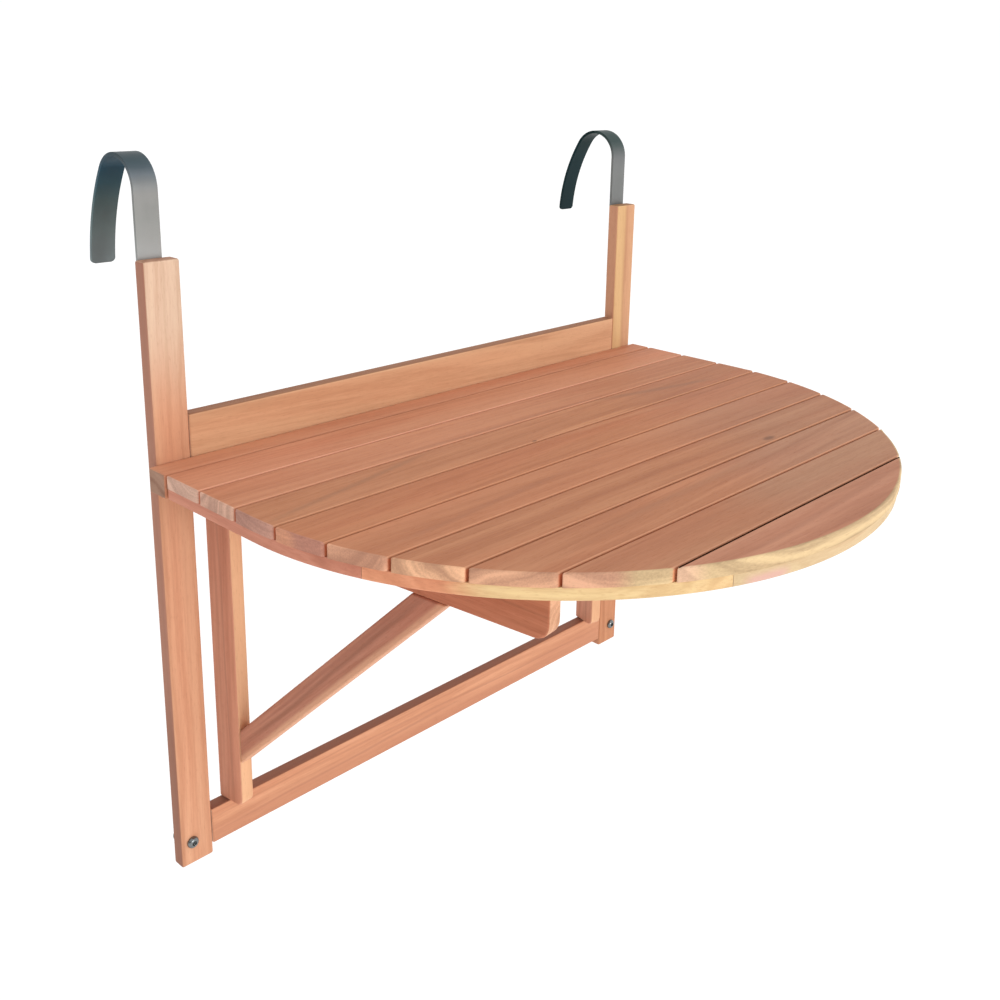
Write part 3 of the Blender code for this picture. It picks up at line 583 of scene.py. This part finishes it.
planks = {
    "edge": 0.0012,
    "corner": 0.0026,
    "spread": 0.0003,  # the saw lines are this much finer than the solids' gaps, on each side
    "facets": 240,
    "shortest": 0.0015,  # a facet shorter than this is merged away
    "slots": ("oiled_wood", "oiled_wood_light", "oiled_wood_dark"),
    "colours": (  # a plank's colour, the one that it fades to, and from where to where
        ((0.606, 0.254, 0.143), (0.568, 0.242, 0.132), -0.20, -0.10),
        ((0.554, 0.230, 0.123), (0.498, 0.215, 0.114), -0.15, 0.22),
        ((0.512, 0.217, 0.109), (0.459, 0.190, 0.099), 0.05, 0.20),
        ((0.508, 0.204, 0.099), (0.479, 0.201, 0.106), 0.05, 0.20),
        ((0.521, 0.214, 0.107), (0.458, 0.204, 0.114), 0.00, 0.17),
        ((0.505, 0.215, 0.108), (0.458, 0.217, 0.122), 0.03, 0.16),
        ((0.512, 0.219, 0.112), (0.456, 0.220, 0.129), -0.03, 0.10),
        ((0.479, 0.209, 0.110), (0.463, 0.232, 0.135), -0.06, 0.03),
        ((0.520, 0.231, 0.137), (0.510, 0.232, 0.139), -0.05, 0.05)),
    "ends": ((0.76, 0.49, 0.37), (0.74, 0.45, 0.33), (0.60, 0.32, 0.245), (0.74, 0.345, 0.21),
             (0.78, 0.41, 0.26), (0.88, 0.50, 0.295), (0.72, 0.39, 0.24), (0.70, 0.385, 0.245),
             (0.80, 0.52, 0.34)),
    "gapShades": ((1.20, 0.80, 0.72), (1.80, 1.60, 1.50)),  # shares of the colour in the gaps, and over the rim: painted shade, lifted over the rim by painted light
    "turns": {4: ((0.55, 0.255, 0.185), -0.2975, -0.2955),  # from x to x an end turns to another tone
              8: ((0.69, 0.51, 0.28), -0.190, -0.175), 9: ((0.69, 0.51, 0.28), -0.150, -0.132)},
    "knots": {6: (0.1169, -0.3369, 0.0045), 3: (-0.036, -0.205, 0.0018)},  # x, y and size of a pin knot
    "streaks": {  # from and to along and across a plank, half width, tone, share
        3: (((-0.290, -0.013), (-0.130, 0.017), 0.0055, (0.33, 0.155, 0.085), 0.50),
            ((0.100, 0.019), (0.235, -0.009), 0.0060, (0.31, 0.150, 0.090), 0.50),
            # a pale line along the front edge by the gap: painted highlight
            ((-0.020, -0.019), (0.100, -0.017), 0.0040, (0.66, 0.300, 0.150), 0.60)),
        2: (((-0.150, -0.016), (0.120, -0.020), 0.0040, (0.38, 0.165, 0.095), 0.40),),
        4: (((0.000, 0.018), (0.150, 0.012), 0.0050, (0.58, 0.270, 0.140), 0.45),),
        5: (((-0.260, -0.010), (-0.080, 0.004), 0.0050, (0.40, 0.165, 0.090), 0.40),),
        7: (((-0.120, 0.004), (0.060, 0.012), 0.0060, (0.40, 0.180, 0.100), 0.35),),
        9: (((-0.100, 0.002), (0.120, 0.010), 0.0045, (0.40, 0.175, 0.105), 0.45),),
    },
}


def halfRoundSlab(radius, rear):  # the top's whole outline in one slab
    middle = (0, arcY, (underPlanks + tabletopLevel) / 2)
    slab = drum("slab", planks["facets"], radius, tabletopLevel - underPlanks, middle)
    openUp(slab)
    bpy.ops.mesh.bisect(plane_co=(0, arcY, 0), plane_no=(0, 1, 0), use_fill=True, clear_outer=True)
    closeUp()
    selectFaces(slab, lambda centre, normal: normal.y > 0.99 and centre.y > arcY - 0.0001)
    extrude(0, rear - arcY, 0)
    closeUp()
    return slab


def roundPlank(piece, low, high, front):  # upright corners, then the top edges; the underside stays square
    def corner(a, b):
        atEnd = abs(a.y - high.y) < 0.0001 or (abs(a.y - low.y) < 0.0001 and not front)
        return atEnd and abs(a.x - b.x) < 0.0001 and abs(a.y - b.y) < 0.0001
    bevelEdges(piece, corner, planks["corner"], 5)
    bevelEdges(piece, lambda a, b: min(a.z, b.z) > high.z - 0.0001, planks["edge"], 3)


def sawBetween(piece, front, back):
    openUp(piece)
    bpy.ops.mesh.bisect(plane_co=(0, back, 0), plane_no=(0, 1, 0), use_fill=True, clear_outer=True)
    bpy.ops.mesh.select_all(action="SELECT")
    bpy.ops.mesh.bisect(plane_co=(0, front, 0), plane_no=(0, 1, 0), use_fill=True, clear_inner=True)
    closeUp()
    return piece


def makePlanks():
    slab = halfRoundSlab(topRadius, rearEdge + 0.01)
    for number in range(1, 10):
        node = f"plank_{number}"
        low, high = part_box(node)
        middle = (low + high) / 2
        low.y -= planks["spread"] * (number < 9)
        high.y += planks["spread"] * (number > 1)
        plank = sawBetween(copyOf(slab, f"plank_board_{number}"), low.y, high.y)
        faceOut(plank, planks["shortest"])
        roundPlank(plank, low, high, number == 9)
        shadeBoard(plank)
        colour, *fade = planks["colours"][number - 1]
        end = planks["ends"][number - 1]
        half = (high.y - low.y) / 2 + 0.01 * (number == 9)  # the front edge isn't sawn
        look = {"colour": colour, "fade": fade, "seed": 40 + number, "end": end,
                "pith": (0.035 * math.sin(number * 2.4), -0.045 - 0.03 * math.cos(number * 1.7)),
                "gapShading": (half, high.z - middle.z, planks["gapShades"][number > 7]),
                "arc": (arcY, topRadius, *planks["turns"].get(number, (end, 0.9, 1.0))),
                "streaks": planks["streaks"].get(number, ())}
        if number in planks["knots"]:
            x, y, size = planks["knots"][number]
            look["knots"] = ((x - middle.x, y - middle.y, size),)
        wood = oiledTimber(f"plank{number}Wood", (1, 0, 0), (0, 1, 0), middle, look)
        lastly(plank, "tabletop", wood, node)
    bpy.data.objects.remove(slab, do_unlink=True)
    print("planks done")


makePlanks()

sapwood = {"colour": (0.66, 0.490, 0.285), "figure": 0.55, "slot": "rim_sapwood", "pores": 0.05}
rim = {
    "edge": 0.0016,
    "step": 1.5,  # degrees between sections
    "joints": (19.4, 67.0),
    "width": 0.040,
    "gap": 0.0003,
    "rim_left_side": {"colour": (0.635, 0.262, 0.172), "seed": 61, "slot": "oiled_wood_dark"},
    "rim_left_curve": {"colour": (0.78, 0.340, 0.190), "seed": 63, "slot": "oiled_wood_light",
                       "fade": ((0.77, 0.550, 0.280), -0.070, -0.036)},
    "rim_front": {**sapwood, "seed": 65,
                  "streaks": (((-0.106, -0.002), (-0.074, -0.002), 0.0075, (0.70, 0.415, 0.350), 0.9),)},
    "rim_right_curve": {**sapwood, "seed": 67},
    "rim_right_side": {"colour": (0.50, 0.24, 0.15), "seed": 69, "slot": "oiled_wood_dark"},
}


def rimPoint(radius, degrees, z):
    a = math.radians(degrees)
    return Vector((-radius * math.cos(a), arcY - radius * math.sin(a), z))


def rimPiece(name, node, start, stop, tail):  # a board section spun along the edge
    low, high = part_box(node)
    outer = -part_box("rim_left_side")[0].x
    inner = outer - rim["width"]
    piece = section(name, [rimPoint(radius, start, z) for z in (low.z, high.z) for radius in (outer, inner)])
    openUp(piece)
    bpy.ops.mesh.spin(steps=max(2, round((stop - start) / rim["step"])), angle=math.radians(start - stop),
                      center=(0, arcY, 0), axis=(0, 0, 1))
    closeUp()
    if tail:  # the straight end behind the round part
        selectFaces(piece, lambda centre, normal: abs(normal.y) > 0.99 and abs(centre.y - arcY) < 0.0001)
        extrude(0, rearEdge - arcY, 0)
        closeUp()
    faceOut(piece)

    def lower(a, b):  # the two long edges underneath
        fromA, fromB = [(Vector(end[:2]) - Vector((0, arcY))).length for end in (a, b)]
        longWay = abs(fromA - fromB) < 0.001 or abs(a.x - b.x) < 0.0001
        return longWay and max(a.z, b.z) < low.z + 0.0001
    return shadeBoard(bevelEdges(piece, lower, rim["edge"], 3))


def makeRim():
    first, second = rim["joints"]
    slip = math.degrees(rim["gap"] / (topRadius - rim["width"])) / 2
    pieces = (
        ("rim_left_side", 0, first - slip, True),
        ("rim_left_curve", first + slip, second - slip, False),
        ("rim_front", second + slip, 180 - second - slip, False),
        ("rim_right_curve", 180 - second + slip, 180 - first - slip, False),
        ("rim_right_side", 180 - first + slip, 180, True),
    )
    for node, start, stop, tail in pieces:
        piece = rimPiece(node + "_band", node, start, stop, tail)
        middle = math.radians((start + stop) / 2)
        along = (0, 1, 0) if tail else (math.sin(middle), -math.cos(middle), 0)
        look = {"pith": (0.03, 0.07), **rim[node]}
        wood = oiledTimber(node + "Wood", along, (0, 0, 1), middleOf(node), look)
        lastly(piece, "tabletop", wood, node)
    print("rim done")


makeRim()

crossPieces = {
    "hinge_batten": {"colour": (0.580, 0.248, 0.140), "seed": 71, "edge": 0.0018, "body": "hanging_frame",
                     "end": (0.37, 0.22, 0.155)},
    "rear_rail": {"colour": (0.46, 0.20, 0.11), "seed": 73, "edge": 0.0016, "body": "tabletop"},
    "centre_batten": {"colour": (0.47, 0.21, 0.12), "seed": 75, "edge": 0.0016, "body": "tabletop"},
}


def makeCrossPieces():
    for node, look in crossPieces.items():
        low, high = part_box(node)
        strip = shadeBoard(easeEdges(block(node + "_strip", low, high), look["edge"]))
        ways = [(1, 0, 0), (0, 1, 0)]
        if high.y - low.y > high.x - low.x:  # the grain runs along the longer side
            ways.reverse()
        wood = oiledTimber(node + "Wood", *ways, middleOf(node), {"pith": (0.02, -0.06), **look})
        lastly(strip, look["body"], wood, node)
    print("cross pieces done")


makeCrossPieces()

brackets = {
    "left": {"turn": 6.9, "side": -1, "seed": 81},  # degrees in from square
    "right": {"turn": -11.6, "side": 1, "seed": 87},
    "pivot": (0.2394, -0.0398),
    "post": 0.030,
    "arm": 0.338,
    "armHeight": 0.0375,
    "nose": 0.013,
    "toe": 0.008,
    "braceFoot": 0.0435,
    "braceWidth": 0.0228,
    "braceAngle": 44.0,
    "edge": 0.0018,
    "gap": 0.0003,
    "postColours": ((0.62, 0.278, 0.176), (0.75, 0.410, 0.235)),  # side, front: the front's lighter tone is painted light
    "armColours": ((0.53, 0.188, 0.100), (0.73, 0.410, 0.255)),
    "braceColours": ((0.50, 0.210, 0.134), (0.62, 0.30, 0.19)),
    "postLook": {"streaks": (((-0.140, 0.004), (0.150, -0.002), 0.0022, (0.42, 0.180, 0.115), 0.40),)},
    # the arm's dark line follows the edge of the rim's shadow on its side: painted shadow
    "armLook": {"streaks": (((-0.120, 0.010), (0.165, 0.000), 0.0020, (0.34, 0.115, 0.060), 0.55),),
                "end": (0.73, 0.410, 0.255)},
    "braceLook": {"streaks": (((-0.130, 0.011), (0.140, 0.015), 0.0040, (0.30, 0.120, 0.075), 0.60),
                              ((-0.110, 0.017), (0.120, 0.018), 0.0022, (0.34, 0.130, 0.085), 0.50)),
                  "band": ((0.72, 0.375, 0.235), 0.0025, 0.0065, -1.0)},  # a pale lower edge
}


def cornerArc(reach, height, radius, steps=10):
    angles = [math.pi / 2 * k / steps for k in range(steps + 1)]
    return [(reach - radius * (1 - math.sin(a)), height + radius * (1 - math.cos(a))) for a in angles]


def flatBoard(name, outline):  # a board from its side outline of (reach, height), towards -Y
    dropSelection()
    bpy.ops.mesh.primitive_circle_add(vertices=len(outline), radius=0.1, fill_type="NGON")
    board = named(bpy.context.object, name)
    for vertex, (reach, height) in zip(board.data.vertices, outline):
        vertex.co = (-boardThick / 2, -reach, height)
    openUp(board)
    extrude(boardThick, 0, 0)
    closeUp()
    return faceOut(board)


def makeBracket(word):
    size = brackets
    side, turn, seed = size[word]["side"], size[word]["turn"], size[word]["seed"]
    pivot = Vector((side * size["pivot"][0], size["pivot"][1], 0))
    low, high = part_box(word + "_bracket_post")
    foot, head = low.z, high.z
    back = -boardThick / 2
    face = back + size["post"]
    floor = head - size["armHeight"]
    start = face + size["gap"]
    rise = math.radians(size["braceAngle"])
    braceLow = foot + size["braceFoot"]
    braceHigh = braceLow + size["braceWidth"] / math.cos(rise)
    under = floor - size["gap"]
    outlines = {
        "post": [(back, foot), *cornerArc(face, foot, size["toe"]), (face, head), (back, head)],
        "arm": [(start, floor), *cornerArc(size["arm"], floor, size["nose"]), (size["arm"], head),
                (start, head)],
        "brace": [(start, braceLow), (start + (under - braceLow) / math.tan(rise), under),
                  (start + (under - braceHigh) / math.tan(rise), under), (start, braceHigh)],
    }
    up = Vector((0, 0, 1))
    forward = Matrix.Rotation(math.radians(turn), 3, "Z") @ Vector((0, -1, 0))
    grain = {
        "post": (up, forward, "oiled_wood_dark", (0.05, -0.035)),
        "arm": (forward, up, "oiled_wood", (0.03, 0.05)),
        "brace": (forward * math.cos(rise) + up * math.sin(rise),
                  up * math.cos(rise) - forward * math.sin(rise), "oiled_wood", (-0.02, -0.06)),
    }
    for count, (kind, outline) in enumerate(outlines.items()):
        node = f"{word}_bracket_{kind}"
        board = flatBoard(node + "_board", outline)
        board.data.transform(Matrix.Translation(pivot) @ Matrix.Rotation(math.radians(turn), 4, "Z"))
        shadeBoard(easeEdges(board, size["edge"]))
        along, across, slot, pith = grain[kind]
        sideColour, litFrontColour = size[kind + "Colours"]
        # painted light: the front faces take the lighter front tone
        look = {"colour": sideColour, "seed": seed + count, "pith": pith, "figure": 1.2,
                "faces": ((forward, litFrontColour, litFrontColour, 0.0, 1.0),), **size[kind + "Look"]}
        wood = oiledTimber(node + "Wood", along, across, middleOf(node), look)
        lastly(board, word + "_bracket", wood, node)


makeBracket("left")
makeBracket("right")
print("brackets done")

hooks = {
    "thick": 0.003,
    "reach": 0.030,  # from the near leg back to the handrail's middle
    "bend": 0.024,  # inside radius of the crown
    "turn": 147.0,  # degrees that the crown turns through
    "sweep": 0.160,  # inside radius of the free leg's long curve
    "drop": 0.090,
    "tip": 0.004,
    "hole": 0.0023,
    "edge": 0.0005,
    "steps": (42, 24),
    "over": 0.04,  # radians that the strip runs on before its tip is cut
}


def makeHook(word):
    size = hooks
    low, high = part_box(word + "_hook")
    crown = high.z
    inside = -size["reach"]
    outside = inside - size["thick"]
    corners = [(x, y, low.z) for y in (outside, inside) for x in (low.x, high.x)]
    hook = section(word + "_hook_strip", corners)  # the strip's section at the foot of its leg
    openUp(hook)
    springing = crown - size["thick"] - size["bend"]
    extrude(0, 0, springing - low.z)
    near = Vector((0, inside + size["bend"], springing))
    turned = math.radians(size["turn"])
    far = near - (size["sweep"] - size["bend"]) * Vector((0, -math.cos(turned), math.sin(turned)))
    tipLevel = crown - size["drop"]
    rest = math.pi - math.asin((tipLevel - far.z) / size["sweep"]) - turned
    for steps, angle, centre in zip(size["steps"], (turned, rest + size["over"]), (near, far)):
        bpy.ops.mesh.spin(steps=steps, angle=angle, center=centre, axis=(1, 0, 0))
    closeUp()
    faceOut(hook)
    tool = block("tipCutter", (low.x - 0.01, 0.005, tipLevel - 0.05),
                 (high.x + 0.01, 0.1, tipLevel + size["tip"]))
    tab = block("tab", (low.x - 0.0001, 0, tipLevel), (high.x + 0.0001, 0.11, tipLevel + 0.02))

    def corner(a, b):
        return max(a.z, b.z) < tipLevel + 0.0001 and abs(a.x - b.x) < 0.0001
    bevelEdges(tab, corner, size["tip"], 8)
    shapeWith(hook, shapeWith(tool, tab))
    for number in (1, 2):
        x, y, z = middleOf(f"{word}_hook_screw_{number}")
        shapeWith(hook, bar("hole", size["hole"], (x, outside - 0.01, z), (x, inside + 0.01, z)))
    easeEdges(hook, size["edge"], 2, 60)
    return shadeBoard(hook, 40)


for word in ("left", "right"):
    lastly(makeHook(word), "hanging_frame", finishes[word + "HookSteel"], word + "_hook")
print("hooks done")

screws = {
    "sides": 48,
    "crown": 0.14,  # width of the head's sloped edge, as a share of its radius
    "wall": 0.52,  # share of the head's height below that edge
    "point": 1.6,  # length of the point, in shank radii
    "tip": 0.08,  # the point's end, as a share of the shank
    "cross": (0.30, 0.085, 0.62),  # the recess's half length and half width, by the head's width, and depth
    "ease": 0.05,  # share of the head's radius
    "spread": 1.01,  # a head's radius beside that of its solid's facets
    "turns": (0.7, 1.9),  # each head stands turned another way
    "hook": {"shank": 0.0019, "head": 0.0024, "length": 0.0126},
    "batten": {"shank": 0.0019, "head": 0.0024, "length": 0.0276},
    "leaf": {"shank": 0.00125, "head": 0.0014, "length": 0.0096},
}


def panScrew(name, radius, shank, head, length):  # along Z, its head on z = 0, its point down
    screw = drum(name, screws["sides"], radius, head, (0, 0, head / 2))
    selectFaces(screw, lambda centre, normal: normal.z > 0.9)
    bpy.ops.mesh.inset(thickness=radius * screws["crown"], depth=0)
    closeUp()
    for vertex in screw.data.vertices:  # the pan's wall stops below its crown
        if vertex.co.z > head * 0.9 and Vector(vertex.co[:2]).length > radius * 0.95:
            vertex.co.z = head * screws["wall"]
    selectFaces(screw, lambda centre, normal: normal.z < -0.9)
    bpy.ops.mesh.inset(thickness=radius - shank, depth=0)
    point = screws["point"] * shank
    extrude(0, 0, -(length - point))
    extrude(0, 0, -point)
    bpy.ops.transform.resize(value=(screws["tip"], screws["tip"], 1))
    closeUp()
    half, width, depth = tint((radius * 2, radius * 2, head), screws["cross"])
    for reachX, reachY in ((half, width), (width, half)):
        shapeWith(screw, block("recess", (-reachX, -reachY, head - depth), (reachX, reachY, head + 0.001)))
    easeEdges(screw, radius * screws["ease"], 2, 38)
    return shadeBoard(screw, 50)


def setScrews():
    sides, pair = ("left", "right"), (1, 2)
    kinds = {
        "hook": ([f"{word}_hook_screw_{number}" for word in sides for number in pair], (0, 1, 0)),
        "batten": ([f"batten_screw_{number}" for number in (1, 2, 3)], (0, 1, 0)),
        "leaf": ([f"{word}_{part}_leaf_screw_{number}" for word in sides for part in ("fixed", "moving")
                  for number in pair], (0, 0, -1)),
    }
    for kind, (nodes, way) in kinds.items():
        low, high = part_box(nodes[0])
        master = panScrew(kind + "Screw", (high.x - low.x) / 2 * screws["spread"], **screws[kind])
        stand = Vector(way).to_track_quat("Z", "Y").to_matrix().to_4x4()
        for count, node in enumerate(nodes):
            low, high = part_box(node)
            seat = (low + high) / 2
            if way[1]:
                seat.y = high.y - screws[kind]["head"]
            else:
                seat.z = low.z + screws[kind]["head"]
            first, each = screws["turns"]
            turned = Matrix.Rotation(first + each * count, 4, "Z")
            screw = copyOf(master, node + "_cross_head", Matrix.Translation(seat) @ stand @ turned)
            body = "tabletop" if "moving" in node else "hanging_frame"
            lastly(screw, body, finishes["zincSteel"], node)
        bpy.data.objects.remove(master, do_unlink=True)
    print("screws done")


setScrews()

bolts = {
    "dome": ((1.0, 0.30), (0.93, 0.56), (0.80, 0.78), (0.62, 0.93), (0.50, 1.0)),  # by radius and height
    "seat": 0.0003,
    "socket": 0.0040,  # across the flats
    "socketDepth": 0.0020,
    "shank": 0.0030,
    "edge": 0.00018,
    "nutFlats": 0.0100,
    "nutEdge": 0.0004,
    "bore": 0.0033,
    "padEdge": 0.0009,
    "padRing": 0.0022,
    "padDish": (0.0006, -0.0004),  # width of its slope, depth
}


def makeFootBolts():
    for word in ("left", "right"):
        low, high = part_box(word + "_bolt")
        x, y, z = middleOf(word + "_bolt")
        radius = (high.x - low.x) / 2
        seatY = frontFace - bolts["seat"]
        height = seatY - low.y
        bolt = bar(word + "_bolt_dome", radius, (x, seatY, z), (x, low.y, z), 64)
        selectFaces(bolt, lambda centre, normal: normal.y > 0.9)
        bpy.ops.mesh.inset(thickness=radius - bolts["shank"], depth=0)
        extrude(0, high.y - seatY, 0)
        closeUp()
        selectFaces(bolt, lambda centre, normal: normal.y < -0.9)
        bpy.ops.transform.translate(value=(0, height * (1 - bolts["dome"][0][1]), 0))
        for (wide, tall), (nextWide, nextTall) in zip(bolts["dome"], bolts["dome"][1:]):
            bpy.ops.mesh.inset(thickness=radius * (wide - nextWide), depth=0)
            bpy.ops.transform.translate(value=(0, -height * (nextTall - tall), 0))
        closeUp()
        shapeWith(bolt, drum("socket", 6, bolts["socket"] / math.sqrt(3), 2 * bolts["socketDepth"],
                             (x, low.y, z), (math.pi / 2, 0, 0)))
        easeEdges(bolt, bolts["edge"], 2, 42)
        shadeBoard(bolt, 40)
        lastly(bolt, "hanging_frame", finishes["darkSteel"], word + "_bolt")
        nutLow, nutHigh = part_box(word + "_bolt_nut")
        nut = drum(word + "_bolt_nut_hex", 6, bolts["nutFlats"] / math.sqrt(3), nutHigh.y - nutLow.y,
                   (x, (nutLow.y + nutHigh.y) / 2, z), (math.pi / 2, math.pi / 6, 0))
        shapeWith(nut, bar("bore", bolts["bore"], (x, nutLow.y - 0.01, z), (x, nutHigh.y + 0.01, z)))
        shadeBoard(easeEdges(nut, bolts["nutEdge"], 2))
        lastly(nut, "hanging_frame", finishes["zincSteel"], word + "_bolt_nut")
        padLow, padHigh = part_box(word + "_pad")
        pad = bar(word + "_pad_disc", (padHigh.x - padLow.x) / 2, (x, padLow.y, z), (x, padHigh.y, z), 64)
        selectFaces(pad, lambda centre, normal: normal.y > 0.9)  # a shallow dished face against the railing
        for wide, deep in ((bolts["padRing"], 0), bolts["padDish"]):
            bpy.ops.mesh.inset(thickness=wide, depth=deep)
        closeUp()
        shapeWith(pad, bar("bore", bolts["bore"], (x, padLow.y - 0.01, z), (x, high.y + bolts["seat"], z)))
        shadeBoard(easeEdges(pad, bolts["padEdge"], 4, 50), 40)
        lastly(pad, "hanging_frame", finishes["padRubber"], word + "_pad")
    print("foot bolts done")


makeFootBolts()

pins = {
    "sides": 40,
    "edge": 0.0004,
    "nodes": ("left_lower_pivot_pin", "left_upper_pivot_pin", "right_lower_pivot_pin",
              "right_upper_pivot_pin", "left_hinge_pin", "right_hinge_pin"),
}


def makePins():
    for node in pins["nodes"]:
        low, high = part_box(node)
        start = (low + high) / 2
        stop = start.copy()
        if "hinge" in node:
            start.x, stop.x, radius = low.x, high.x, (high.z - low.z) / 2
        else:
            start.z, stop.z, radius = low.z, high.z, (high.x - low.x) / 2
        pin = easeEdges(bar(node + "_rod", radius, start, stop, pins["sides"]), pins["edge"], 3, 50)
        lastly(shadeBoard(pin, 40), "hanging_frame", finishes["zincSteel"], node)
    print("pins done")


makePins()

leaves = {
    "thick": 0.0015,
    "barrel": 0.0026,
    "bore": 0.0014,
    "shy": 0.0001,
    "slit": 0.00015,  # half the gap between two knuckles
    "gap": 0.0003,
    "corner": 0.0016,
    "hole": 0.0016,
}


def makeLeaf(word, part):
    size = leaves
    node = f"{word}_{part}_leaf"
    low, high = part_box(node)
    pinLow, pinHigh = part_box(word + "_hinge_pin")
    axis = (pinLow + pinHigh) / 2
    way = 1 if part == "fixed" else -1
    third = (pinHigh.x - pinLow.x) / 3
    outer = max(abs(high.y - axis.y), abs(low.y - axis.y))
    top = axis.z + size["barrel"] - size["shy"]
    notch = size["barrel"] + size["gap"]
    leaf = block(node + "_plate", (low.x + size["shy"], axis.y + way * notch, top - size["thick"]),
                 (high.x - size["shy"], axis.y + way * outer, top))
    knuckles = ((-1.5 * third, -0.5 * third - size["slit"]), (0.5 * third + size["slit"], 1.5 * third))
    if part == "moving":
        knuckles = ((-0.5 * third + size["slit"], 0.5 * third - size["slit"]),)
    faceOut(leaf)
    for start, stop in knuckles:
        left, right = axis.x + start, axis.x + stop
        shapeWith(leaf, block("tongue", (left + size["shy"], axis.y, top - size["thick"]),
                              (right - size["shy"], axis.y + way * (notch + 0.001), top)), "UNION")
        knuckle = bar("knuckle", size["barrel"], (left, axis.y, axis.z), (right, axis.y, axis.z))
        shapeWith(leaf, knuckle, "UNION")
    bore = bar("bore", size["bore"], (low.x - 0.01, axis.y, axis.z), (high.x + 0.01, axis.y, axis.z))
    shapeWith(leaf, bore)
    for number in (1, 2):
        x, y, z = middleOf(f"{node}_screw_{number}")
        shapeWith(leaf, bar("hole", size["hole"], (x, y, top - 0.01), (x, y, top + 0.01)))

    def corner(a, b):
        atEnd = min(abs(a.y - axis.y), abs(b.y - axis.y)) > outer - 0.0001
        return atEnd and abs(a.x - b.x) < 0.0001 and abs(a.z - b.z) > 0.001
    shadeBoard(bevelEdges(leaf, corner, size["corner"], 6), 36)
    body = "hanging_frame" if part == "fixed" else "tabletop"
    lastly(leaf, body, finishes["zincSteel"], node)


for word in ("left", "right"):
    makeLeaf(word, "fixed")
    makeLeaf(word, "moving")
print("hinges done")

studio = {
    "floor": -1.0,
    "floorSize": 60,
    "camera": (-0.713645, -0.819585, 0.076357),
    "turn": (74.521132, -1.282876, -46.710607),
    "lens": 41.4834,
    "shift": (-0.0218917, -0.1224148),
    "ahead": (1.02, 1.04),  # world strength at the horizon and overhead
    "leftShare": 0.30,  # share of it on the left upright's side
    "floorGlow": 0.30,
    "key": 150.0,
    "keyPlace": (0.2, -6.0, -0.3),
    "keyAim": (0, -0.2, -0.3),
    "keySize": 2.8,
}


def setStudio():
    dropSelection()
    bpy.ops.mesh.primitive_plane_add(size=studio["floorSize"], location=(0, 0, studio["floor"]))
    floor = named(bpy.context.object, "studioFloor")
    bench = Workbench(bpy.data.materials.new("paleFloor"))
    floor.data.materials.append(bench.finished(
        {"Base Color": (0.80, 0.80, 0.80), "Roughness": 0.9, "Specular IOR Level": 0.0,
         "Emission Color": (1.0, 1.0, 1.0), "Emission Strength": studio["floorGlow"]}, {}))
    scene.world = bpy.data.worlds.new("studioWorld")
    sky = Workbench(scene.world)
    side, outward, up = sky.split(sky.place("Generated"))
    level, overhead = studio["ahead"]
    high = sky.step(up, 0.12, 0.80)
    shadow = sky.step(0.0 - side, -0.1, 0.6) * (1.0 - high) * (1.0 - studio["leftShare"])
    strength = (level + high * (overhead - level)) * (1.0 - shadow)
    seen = sky.add("ShaderNodeLightPath", {}, {}, "Is Camera Ray")  # the backdrop itself stays one plain tone
    strength = strength + (level - strength) * seen
    shell = sky.add("ShaderNodeBackground", {}, {"Color": (1.0, 1.0, 1.0), "Strength": strength})
    sky.add("ShaderNodeOutputWorld", {}, {"Surface": shell})
    lamp = bpy.data.lights.new("keyLight", "AREA")
    lamp.energy = studio["key"]
    lamp.size = studio["keySize"]
    holder = bpy.data.objects.new("keyLight", lamp)
    scene.collection.objects.link(holder)
    holder.location = studio["keyPlace"]
    holder.rotation_mode = "QUATERNION"
    aim = Vector(studio["keyPlace"]) - Vector(studio["keyAim"])
    holder.rotation_quaternion = aim.to_track_quat("Z", "Y")
    lens = bpy.data.cameras.new("photoCamera")
    lens.lens = studio["lens"]
    lens.sensor_width = 36
    lens.shift_x, lens.shift_y = studio["shift"]
    lens.clip_start = 0.01
    eye = bpy.data.objects.new("photoCamera", lens)
    scene.collection.objects.link(eye)
    eye.location = studio["camera"]
    eye.rotation_euler = [math.radians(angle) for angle in studio["turn"]]
    scene.camera = eye
    print("studio done")


setStudio()
